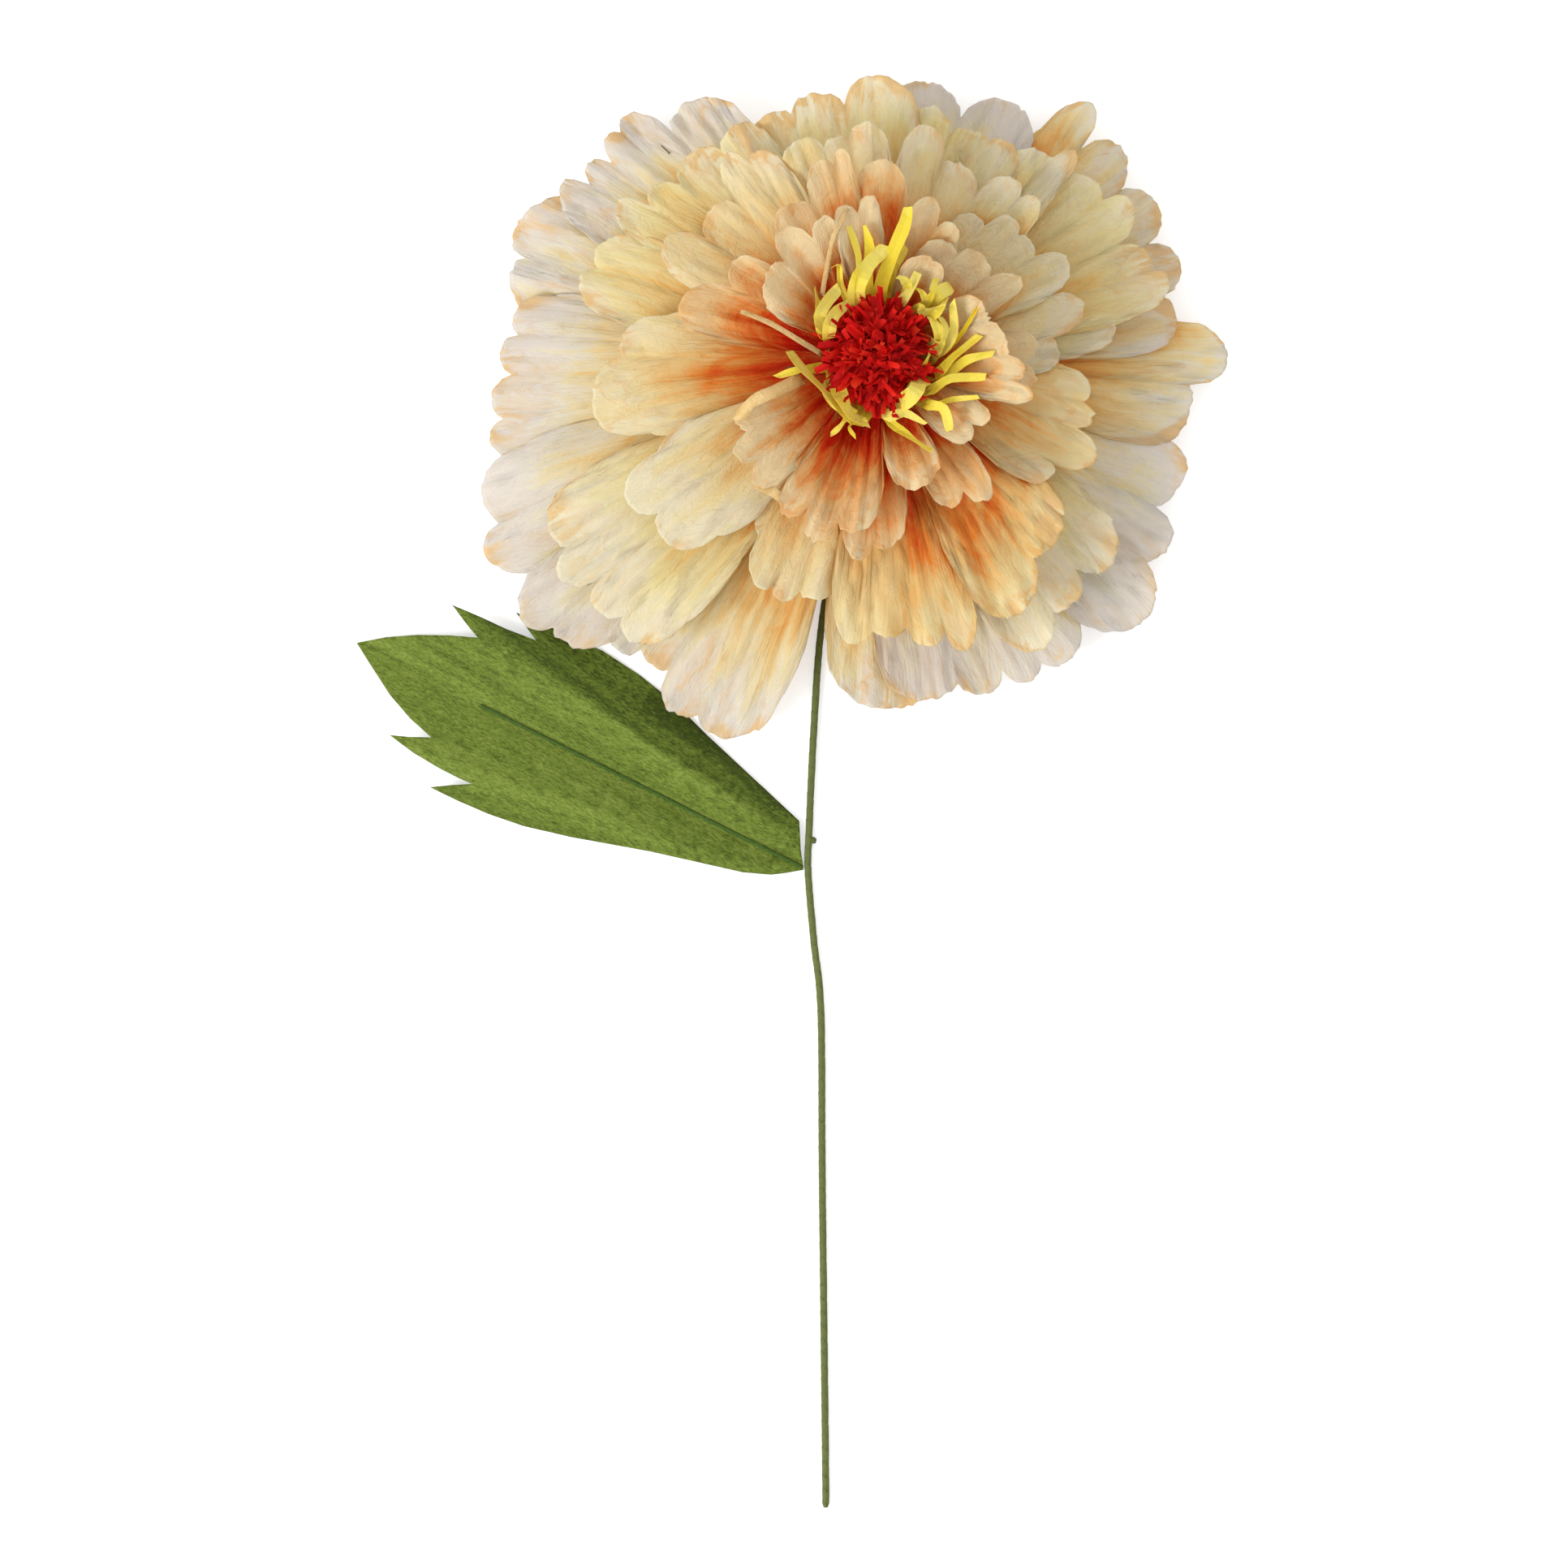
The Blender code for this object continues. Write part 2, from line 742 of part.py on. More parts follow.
def stamen_sheet(foot):
    """A ring of paper with every second step of its rim drawn out into a finger."""
    root = BINDING_RADIUS + ROOT_GAP
    sheet = bmesh.new()
    bmesh.ops.create_circle(sheet, segments=2 * STAMENS, radius=root)
    rim = bmesh.ops.extrude_edge_only(sheet, edges=sheet.edges[:])["geom"]
    for vert in (item for item in rim if isinstance(item, bmesh.types.BMVert)):
        vert.co *= (root + COLLAR_WIDTH) / root
    edges = [item for item in rim if isinstance(item, bmesh.types.BMEdge)]
    outer = [edge for edge in edges if all(v.co.length > root + COLLAR_WIDTH / 2 for v in edge.verts)]
    for edge in outer:
        middle = (edge.verts[0].co + edge.verts[1].co) / 2
        azimuth = math.degrees(math.atan2(middle.y, middle.x)) % 360
        if int(azimuth * STAMENS / 180) % 2 == 0:
            draw_out_stamen(sheet, edge, azimuth)
    for vert in sheet.verts:
        share = max(0.0, vert.co.xy.length - root) / (STAMEN_REACH - root)
        vert.co.z = foot + STAMEN_RISE * share**1.3
    bmesh.ops.recalc_face_normals(sheet, faces=sheet.faces)
    if sum(face.normal.z for face in sheet.faces) < 0:
        bmesh.ops.reverse_faces(sheet, faces=sheet.faces)
    return sheet


def draw_out_stamen(sheet, edge, azimuth):
    """Draw one edge of the ring out into a finger that narrows towards its tip."""
    start = edge.verts[0].co.xy.length
    half = (edge.verts[0].co - edge.verts[1].co).length / 2
    for step in range(1, STAMEN_STEPS + 1):
        share = step / STAMEN_STEPS
        radius = start + (stamen_reach(azimuth) - start) * share
        width = half * (1 + (STAMEN_TIP_SHARE - 1) * share)
        drawn = bmesh.ops.extrude_edge_only(sheet, edges=[edge])["geom"]
        ends = [item for item in drawn if isinstance(item, bmesh.types.BMVert)]
        middle = polar(azimuth, radius)
        aside = polar(azimuth + 90, width)
        for end in ends:
            end.co = middle + aside * (1 if end.co.dot(aside) > 0 else -1)
        edge = sheet.edges.get(ends)


def centre_fringe(seat, collection, material):
    """A dome of finely cut paper that stands up in tufts on a narrow foot."""
    brush = bmesh.new()
    bmesh.ops.create_icosphere(brush, subdivisions=2, radius=1.0)
    tufts = [face for face in brush.faces if face.normal.z > TUFT_FACING]
    middle = seat + CENTRE_DEPTH
    for vert in brush.verts:
        spread = CENTRE_RADIUS * (1 + CENTRE_TAPER * min(vert.co.z, 0.0))
        rise = CENTRE_CROWN if vert.co.z > 0 else CENTRE_DEPTH
        vert.co = Vector((vert.co.x * spread, vert.co.y * spread, middle + vert.co.z * rise))
    bmesh.ops.poke(brush, faces=tufts, offset=TUFT_HEIGHT, center_mode="MEAN")
    data = bpy.data.meshes.new("centre_fringe")
    brush.to_mesh(data)
    brush.free()
    return place("centre_fringe", data, collection, material)


def leaf_joint():
    """Where the leaf's foot meets the side of the stem."""
    below, above = STEM_ON_TABLE[6], STEM_ON_TABLE[7]
    share = (LEAF_JOINT_Y - below[1]) / (above[1] - below[1])
    x = below[0] + (above[0] - below[0]) * share
    return Vector((x - TAPE_RADIUS - GAP, LEAF_JOINT_Y, 0.0))


def leaf_axes():
    """Directions along the midrib and across it, and the midrib's length."""
    along = Vector((*LEAF_APEX, 0.0)) - leaf_joint()
    length = along.length
    along.normalize()
    return along, Vector((along.y, -along.x, 0.0)), length


def leaf_height(point):
    """Height of the leaf's folded sheet: a low midrib between two raised pleats."""
    along, across, _ = leaf_axes()
    offset = point - leaf_joint()
    distance = max(offset.dot(along), 0.0)
    ridge = LEAF_RIDGE_START + LEAF_RIDGE_SPREAD * distance
    fold = 1 - abs(abs(offset.dot(across)) / ridge - 1)
    return TAPE_RADIUS * math.exp(-distance / LEAF_TAPER) + LEAF_PLEAT * max(fold, 0.0) * min(
        1.0, distance / LEAF_TAPER
    )


def leaf_sheet():
    """The leaf's outline, creased along its midrib and its two pleats."""
    along, across, length = leaf_axes()
    joint = leaf_joint()
    foot = [joint + across * -LEAF_WIRE_RADIUS, joint + across * LEAF_WIRE_RADIUS]
    sheet = bmesh.new()
    margin = [Vector((*point, 0.0)) for point in LEAF_MARGIN]
    margin += foot
    margin += [Vector((*point, 0.0)) for point in LEAF_LOWER_MARGIN]
    outline = sheet.faces.new([sheet.verts.new(point) for point in margin])
    if outline.normal.z < 0:
        outline.normal_flip()
    bmesh.ops.triangulate(sheet, faces=[outline])
    creases = [(joint, across)]
    for side in (-1, 1):
        start = joint + across * side * LEAF_RIDGE_START
        run = along + across * side * LEAF_RIDGE_SPREAD
        creases.append((start, Vector((run.y, -run.x, 0.0))))
    for step in range(1, int(length / LEAF_CROSS_STEP)):
        creases.append((joint + along * step * LEAF_CROSS_STEP, along))
    for point, normal in creases:
        bmesh.ops.bisect_plane(
            sheet, geom=[*sheet.verts, *sheet.edges, *sheet.faces], plane_co=point, plane_no=normal
        )
    bmesh.ops.triangulate(sheet, faces=sheet.faces)
    for vert in sheet.verts:
        vert.co.z = leaf_height(vert.co)
    sheet.normal_update()
    if sum(face.normal.z for face in sheet.faces) < 0:
        bmesh.ops.reverse_faces(sheet, faces=sheet.faces)
    return sheet


def leaf_wire_route():
    """The leaf's wire, lying in the fold of the midrib."""
    along, _, length = leaf_axes()
    lift = SHEET + GAP + LEAF_WIRE_RADIUS * 1.1
    route = []
    steps = int(length * LEAF_WIRE_SHARE / LEAF_CROSS_STEP)
    for step in range(steps + 1):
        point = leaf_joint() + along * (LEAF_WIRE_RADIUS + step * LEAF_CROSS_STEP)
        route.append(Vector((point.x, point.y, leaf_height(point) + lift)))
    return route


def stand_on_table(frame, collection):
    """Move the flower so that its bounding box stands with the centre of its base on the origin."""
    bpy.context.view_layer.update()
    graph = bpy.context.evaluated_depsgraph_get()
    corners = []
    for piece in collection.objects:
        if piece.type != "EMPTY":
            solid = piece.evaluated_get(graph).to_mesh()
            corners += [piece.matrix_world @ vert.co for vert in solid.vertices]
            piece.evaluated_get(graph).to_mesh_clear()
    low = Vector(min(corner[axis] for corner in corners) for axis in range(3))
    high = Vector(max(corner[axis] for corner in corners) for axis in range(3))
    frame.location = Vector((-(low.x + high.x) / 2, -(low.y + high.y) / 2, -low.z))


def clear_scene():
    """Remove every object."""
    for piece in list(bpy.data.objects):
        bpy.data.objects.remove(piece, do_unlink=True)


def build_flower():
    """Model every piece, from the leaf and stem on the table up to the red centre."""
    clear_scene()
    collection = bpy.data.collections.new("paper_flower")
    bpy.context.scene.collection.children.link(collection)
    green_tape = paper("crepe_tape_green", (0.16, 0.20, 0.07))
    green_leaf = paper("crepe_green", (0.13, 0.22, 0.05))
    steel = paper("florist_wire", (0.30, 0.30, 0.28), 0.45)
    steel.node_tree.nodes["Principled BSDF"].inputs["Metallic"].default_value = 1.0
    dyed = {name: paper(f"crepe_{name}", ring.colour) for name, ring in RINGS.items()}

    pile = Pile()
    leaf = leaf_sheet()
    pile.cover(leaf)
    place_sheet("leaf", leaf, collection, green_leaf)
    place_wire("leaf_wire", leaf_wire_route(), LEAF_WIRE_RADIUS, collection, green_tape)
    pile.cover_tube(leaf_wire_route(), LEAF_WIRE_RADIUS)
    stem_tape(collection, green_tape)
    pile.cover_tube(stem_route(BINDING_BOTTOM), TAPE_RADIUS)

    highest_end = BINDING_BOTTOM
    wires = 0
    for number, petal in enumerate(PETALS):
        sheet = lay_petal(petal, number, pile)
        ends = [vert.co.z for vert in sheet.verts if vert.co.xy.length < BINDING_RADIUS + 2 * ROOT_GAP]
        highest_end = max(highest_end, *ends)
        if petal.wire is not None:
            wires += 1
            route = wire_route(petal, sheet)
            place_wire(f"petal_wire_{wires}", route, PETAL_WIRE_RADIUS, collection, steel)
            pile.cover_tube(route, PETAL_WIRE_RADIUS)
        place_sheet(petal.name, sheet, collection, dyed[petal.ring])

    stamens = stamen_sheet(highest_end + LAYER_GAP)
    pile.lay(stamens, STAMEN_GAP)
    highest_end = max(vert.co.z for vert in stamens.verts if vert.co.xy.length < BINDING_RADIUS + 2 * ROOT_GAP)
    place_sheet("stamen_fringe", stamens, collection, paper("crepe_yellow", (0.80, 0.60, 0.05)))

    top = highest_end + BINDING_RIM
    binding(top, collection, green_tape)
    place_wire("stem_wire", stem_route(top - BINDING_ROOF - GAP), WIRE_RADIUS, collection, steel)
    centre_fringe(top + GAP, collection, paper("crepe_red", (0.50, 0.01, 0.01)))

    frame = bpy.data.objects.new("flower_frame", None)
    collection.objects.link(frame)
    for piece in collection.objects:
        if piece is not frame:
            piece.parent = frame
    stand_on_table(frame, collection)


build_flower()
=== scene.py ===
"""The look of a handmade crepe paper flower that lies face up on a white table.

Every petal is cut again as a fine sheet over its plain solid: its lobes, height and room come from the
solids, and ruffles, creases and curled edges are added where nothing lies on it. The stamens and the red
centre are made strip by strip, and the stem is wound with tape. Lengths are in metres and azimuths in
degrees unless a line says otherwise.
"""

from __future__ import annotations

import logging
import math
import random
from dataclasses import dataclass, replace
from enum import Enum

import bmesh
import bpy
import numpy as np
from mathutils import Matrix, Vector, noise
from mathutils.bvhtree import BVHTree

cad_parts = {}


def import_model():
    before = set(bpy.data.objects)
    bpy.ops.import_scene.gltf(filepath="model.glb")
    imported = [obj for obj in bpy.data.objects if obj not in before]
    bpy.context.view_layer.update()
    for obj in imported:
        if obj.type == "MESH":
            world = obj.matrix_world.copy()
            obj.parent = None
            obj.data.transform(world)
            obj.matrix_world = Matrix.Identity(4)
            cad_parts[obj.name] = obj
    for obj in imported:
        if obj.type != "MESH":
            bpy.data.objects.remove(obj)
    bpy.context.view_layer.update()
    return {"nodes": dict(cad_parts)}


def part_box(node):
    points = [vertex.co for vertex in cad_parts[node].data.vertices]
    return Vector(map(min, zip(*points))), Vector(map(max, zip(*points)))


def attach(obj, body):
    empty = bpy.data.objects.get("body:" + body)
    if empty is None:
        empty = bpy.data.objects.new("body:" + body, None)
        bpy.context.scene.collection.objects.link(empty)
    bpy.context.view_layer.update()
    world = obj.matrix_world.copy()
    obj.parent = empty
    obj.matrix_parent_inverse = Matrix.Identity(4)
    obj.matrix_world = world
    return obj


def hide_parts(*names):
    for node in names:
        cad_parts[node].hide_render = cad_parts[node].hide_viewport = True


LOG = logging.getLogger("paper_flower")
DOWN = Vector((0.0, 0.0, -1.0))
UP = Vector((0.0, 0.0, 1.0))
SKY = 0.5  # height from which rays look down on the flower
PAPER_UV = "Sheet"
DYE, MARGIN, TONE = "dye", "margin", "tone"
WHITE = (1.0, 1.0, 1.0, 1.0)
MM = 0.001
STRIP_THICKNESS = 0.0002
GOLDEN_TURN = 2.399963  # radians between two neighbours of an even scatter

Feed = bpy.types.NodeSocket | float | tuple[float, ...]
Shade = tuple[int, int, int]  # red, green and blue as they look on a screen, 0 to 255


class Ring(Enum):
    """The five rings of petals, from the back of the head to the front."""

    OUTER = "outer"
    BACK = "back"
    MIDDLE = "middle"
    FRONT = "front"
    INNER = "inner"


def srgb(red: int, green: int, blue: int) -> tuple[float, float, float, float]:
    """The linear colour of a shade on a screen, with full alpha."""
    shares = [value / 255 for value in (red, green, blue)]
    return (*(s / 12.92 if s <= 0.04045 else ((s + 0.055) / 1.055) ** 2.4 for s in shares), 1.0)


def wobble(x: float, y: float, z: float) -> float:
    """Smooth noise around 0 at a place."""
    return noise.noise(Vector((x, y, z)))


def polar(azimuth: float, radius: float) -> Vector:
    """A point from its azimuth and its distance from the axis."""
    angle = math.radians(azimuth)
    return Vector((radius * math.cos(angle), radius * math.sin(angle), 0.0))


def smooth_route(points: list[Vector], steps: int) -> list[Vector]:
    """Points along a smooth curve through given points.

    Args:
        points: The points that the curve goes through.
        steps: New points for each stretch between two of them.

    Returns:
        The curve's points, with both ends.
    """
    route = [points[0]]
    padded = [points[0], *points, points[-1]]
    for before, start, end, after in zip(padded, padded[1:], padded[2:], padded[3:]):
        entry, leave = (end - before) / 2, (after - start) / 2
        for step in range(1, steps + 1):
            t = step / steps
            route.append(
                start * (2 * t**3 - 3 * t**2 + 1)
                + entry * (t**3 - 2 * t**2 + t)
                + end * (3 * t**2 - 2 * t**3)
                + leave * (t**3 - t**2)
            )
    return route


def blur(grid: np.ndarray, turns: int) -> np.ndarray:
    """A grid of numbers with its bumps averaged out, its rim kept in place.

    Args:
        grid: The numbers.
        turns: How often they are averaged.

    Returns:
        The smoother grid.
    """
    for _ in range(turns):
        padded = np.pad(grid, 1, mode="edge")
        across = (padded[:-2, 1:-1] + 2 * grid + padded[2:, 1:-1]) / 4
        padded = np.pad(across, 1, mode="edge")
        grid = (padded[1:-1, :-2] + 2 * across + padded[1:-1, 2:]) / 4
    return grid


def nearness(places: np.ndarray, spread: float) -> np.ndarray:
    """How much each place counts for each other one, less with distance."""
    return np.exp(-(((places[:, None] - places[None, :]) / spread) ** 2))


class Solids:
    """The plain solids of the frame, as trees that rays can be cast at."""

    def __init__(self, nodes: dict[str, bpy.types.Object]) -> None:
        """Reads the mesh of every node once.

        Args:
            nodes: Every node of the frame.
        """
        self.nodes = nodes
        self.trees = {name: self._tree([name]) for name in nodes}
        self.cover = self._tree([name for name in nodes if name.startswith(("petal_", "stem_tape", "leaf"))])
        low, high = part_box("petal_binding")
        self.axis = Vector(((low.x + high.x) / 2, (low.y + high.y) / 2, 0.0))
        self.root = (high.x - low.x) / 2

    def _tree(self, names: list[str]) -> BVHTree:
        """One tree over the meshes of some nodes.

        Args:
            names: The nodes.

        Returns:
            The tree.
        """
        points: list[Vector] = []
        faces: list[list[int]] = []
        for name in names:
            mesh = self.nodes[name].data
            start = len(points)
            points += [vert.co.copy() for vert in mesh.vertices]
            faces += [[start + index for index in face.vertices] for face in mesh.polygons]
        return BVHTree.FromPolygons(points, faces)

    def top(self, name: str, x: float, y: float) -> float:
        """Height of a node's upper face.

        Args:
            name: The node.
            x: Place along X.
            y: Place along Y.

        Returns:
            The height straight under the place, or of the nearest point of the node beside it.
        """
        hit = self.trees[name].ray_cast(Vector((x, y, SKY)), DOWN)[0]
        if hit is None:
            low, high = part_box(name)
            hit = self.trees[name].find_nearest(Vector((x, y, (low.z + high.z) / 2)))[0]
        return hit.z

    def covers(self, name: str, place: Vector) -> bool:
        """Whether a node has anything over or under a place."""
        return self.trees[name].ray_cast(Vector((*place.xy, SKY)), DOWN)[0] is not None

    def pile_top(self, x: float, y: float) -> float:
        """Height of the highest petal, stem or leaf at a place."""
        hit = self.cover.ray_cast(Vector((x, y, SKY)), DOWN)[0]
        return hit.z if hit is not None else 0.0

    def room(self, point: Vector, most: float) -> float:
        """Free height over a point just above a sheet, at most the given one."""
        hit, _, _, distance = self.cover.ray_cast(point, UP)
        return most if hit is None else min(distance, most)


# Finishes


class Graph:
    """A node tree that is wired as it is written."""

    def __init__(self, tree: bpy.types.NodeTree) -> None:
        """Takes the tree to work in."""
        self.tree = tree

    def add(self, kind: str, inputs: dict[int | str, Feed] | None = None) -> bpy.types.Node:
        """Adds a node.

        Args:
            kind: Its type.
            inputs: What some of its sockets are fed.

        Returns:
            The node.
        """
        node = self.tree.nodes.new(kind)
        self.feed(node, inputs or {})
        return node

    def feed(self, node: bpy.types.Node, inputs: dict[int | str, Feed]) -> None:
        """Links a node's sockets to others, or sets them to plain values.

        Args:
            node: The node.
            inputs: A socket or a value for each of its own sockets' names or numbers.
        """
        for key, value in inputs.items():
            if isinstance(value, bpy.types.NodeSocket):
                self.tree.links.new(value, node.inputs[key])
            else:
                node.inputs[key].default_value = value

    def math(self, operation: str, *values: Feed) -> bpy.types.NodeSocket:
        """A sum, a product or the like of sockets and numbers.

        Args:
            operation: What is done with them.
            values: The sockets and numbers.

        Returns:
            The result's socket.
        """
        node = self.add("ShaderNodeMath")
        node.operation = operation
        self.feed(node, dict(enumerate(values)))
        return node.outputs[0]

    def attribute(self, name: str) -> bpy.types.NodeSocket:
        """A number that every point of a sheet knows.

        Args:
            name: The attribute's name.

        Returns:
            The number's socket.
        """
        node = self.add("ShaderNodeAttribute")
        node.attribute_name = name
        return node.outputs["Fac"]

    def ramp(self, stops: tuple[tuple[float, int, int, int], ...], place: Feed) -> bpy.types.NodeSocket:
        """A colour out of a row of them.

        Args:
            stops: Each colour with its place, from 0 to 1.
            place: The place to read.

        Returns:
            The colour's socket.
        """
        node = self.add("ShaderNodeValToRGB", {0: place})
        while len(node.color_ramp.elements) < len(stops):
            node.color_ramp.elements.new(0.5)
        for element, (position, *shade) in zip(node.color_ramp.elements, stops):
            element.position = position
            element.color = srgb(*shade)
        return node.outputs[0]


def new_material(name: str) -> tuple[bpy.types.Material, Graph, bpy.types.Node]:
    """A material with its graph and its principled shader.

    Args:
        name: The material's name.

    Returns:
        All three.
    """
    made = bpy.data.materials.new(name)
    made.use_nodes = True
    return made, Graph(made.node_tree), made.node_tree.nodes["Principled BSDF"]


class Sockets:
    """Names of the crepe group's sockets, so that both ends of a link spell them alike."""

    ALONG = "Along"
    ACROSS = "Across"
    SEED = "Seed"
    LENGTHWISE = "Lengthwise"
    CROSSWISE = "Crosswise"
    STREAKS = "Streaks"
    BANDS = "Bands"
    BLOTCHES = "Blotches"
    RIDGES = "Ridges"
    HEIGHT = "Height"


@dataclass(frozen=True)
class Grain:
    """The grain that every crepe paper here shares.

    Attributes:
        seed_step: Distance in the noise between two sheets.
        wander: How far the fibres stray from a straight line.
        wander_scale: How often they do.
        band: A fibre's width as a share of a band's.
        band_breaks: Breaks in the bands along the sheet.
        blotch: Soft patches across and along the sheet.
        crinkle: Crinkles across and along it.
        fold: Thin ridges across and along it.
        sharpness: How narrow a ridge is.
        roughness: Roughness of all the noise.
    """

    seed_step: float = 37.0
    wander: float = 0.10
    wander_scale: float = 3.0
    band: float = 0.12
    band_breaks: float = 1.6
    blotch: tuple[float, float] = (5.0, 5.0)
    crinkle: tuple[float, float] = (26.0, 20.0)
    fold: tuple[float, float] = (9.0, 4.0)
    sharpness: float = 16.0
    roughness: float = 0.6

    def group(self) -> bpy.types.ShaderNodeTree:
        """Builds the node group.

        Returns:
            A group that turns a place on the sheet into fine fibre streaks, wide bands, soft blotches
            (all around 0), thin ridges (0 to 1) and a height.
        """
        tree = bpy.data.node_groups.new("CrepeGrain", "ShaderNodeTree")
        given = {Sockets.ACROSS: 0.0, Sockets.ALONG: 0.0, Sockets.SEED: 0.0}
        given |= {Sockets.CROSSWISE: 60.0, Sockets.LENGTHWISE: 4.0}
        for name, value in given.items():
            socket = tree.interface.new_socket(name, in_out="INPUT", socket_type="NodeSocketFloat")
            socket.default_value = value
        for name in (Sockets.STREAKS, Sockets.BANDS, Sockets.BLOTCHES, Sockets.RIDGES, Sockets.HEIGHT):
            tree.interface.new_socket(name, in_out="OUTPUT", socket_type="NodeSocketFloat")
        graph = Graph(tree)
        entry = graph.add("NodeGroupInput").outputs
        seed = graph.math("MULTIPLY", entry[Sockets.SEED], self.seed_step)

        def texture(over: Feed, scales: tuple[Feed, Feed], detail: float, distortion: float = 0.0) -> Feed:
            """Noise around 0 at a place on the sheet.

            Args:
                over: Place across the sheet.
                scales: How fine the noise is across and along the sheet.
                detail: How many finer layers it has.
                distortion: How far it is stirred.

            Returns:
                The noise's socket.
            """
            across = graph.math("MULTIPLY", over, scales[0])
            along = graph.math("MULTIPLY", entry[Sockets.ALONG], scales[1])
            place = graph.add("ShaderNodeCombineXYZ", {0: across, 1: along, 2: seed}).outputs[0]
            made = graph.add("ShaderNodeTexNoise", {"Vector": place, "Scale": 1.0, "Detail": detail})
            graph.feed(made, {"Roughness": self.roughness, "Distortion": distortion})
            return graph.math("SUBTRACT", made.outputs["Fac"], 0.5)

        straight, fibres = entry[Sockets.ACROSS], entry[Sockets.CROSSWISE]
        bend = texture(straight, (self.wander_scale, self.wander_scale), 1.0)
        bent = graph.math("MULTIPLY_ADD", bend, self.wander, straight)
        streaks = texture(bent, (fibres, entry[Sockets.LENGTHWISE]), 5.0)
        bands = texture(graph.math("MULTIPLY", bent, fibres), (self.band, self.band_breaks), 3.0, 0.3)
        blotches = texture(straight, self.blotch, 3.0, 0.5)
        crinkles = texture(bent, self.crinkle, 4.0, 1.2)
        folds = graph.math("ABSOLUTE", texture(bent, self.fold, 4.0, 0.8))
        ridges = graph.math("MAXIMUM", graph.math("MULTIPLY_ADD", folds, -self.sharpness, 1.0), 0.0)
        height = graph.math("MULTIPLY_ADD", bands, 0.6, streaks)
        height = graph.math("MULTIPLY_ADD", crinkles, 1.1, height)
        height = graph.math("MULTIPLY_ADD", ridges, 0.25, height)
        made = {Sockets.RIDGES: ridges, Sockets.STREAKS: streaks, Sockets.BANDS: bands}
        graph.add("NodeGroupOutput", made | {Sockets.BLOTCHES: blotches, Sockets.HEIGHT: height})
        return tree


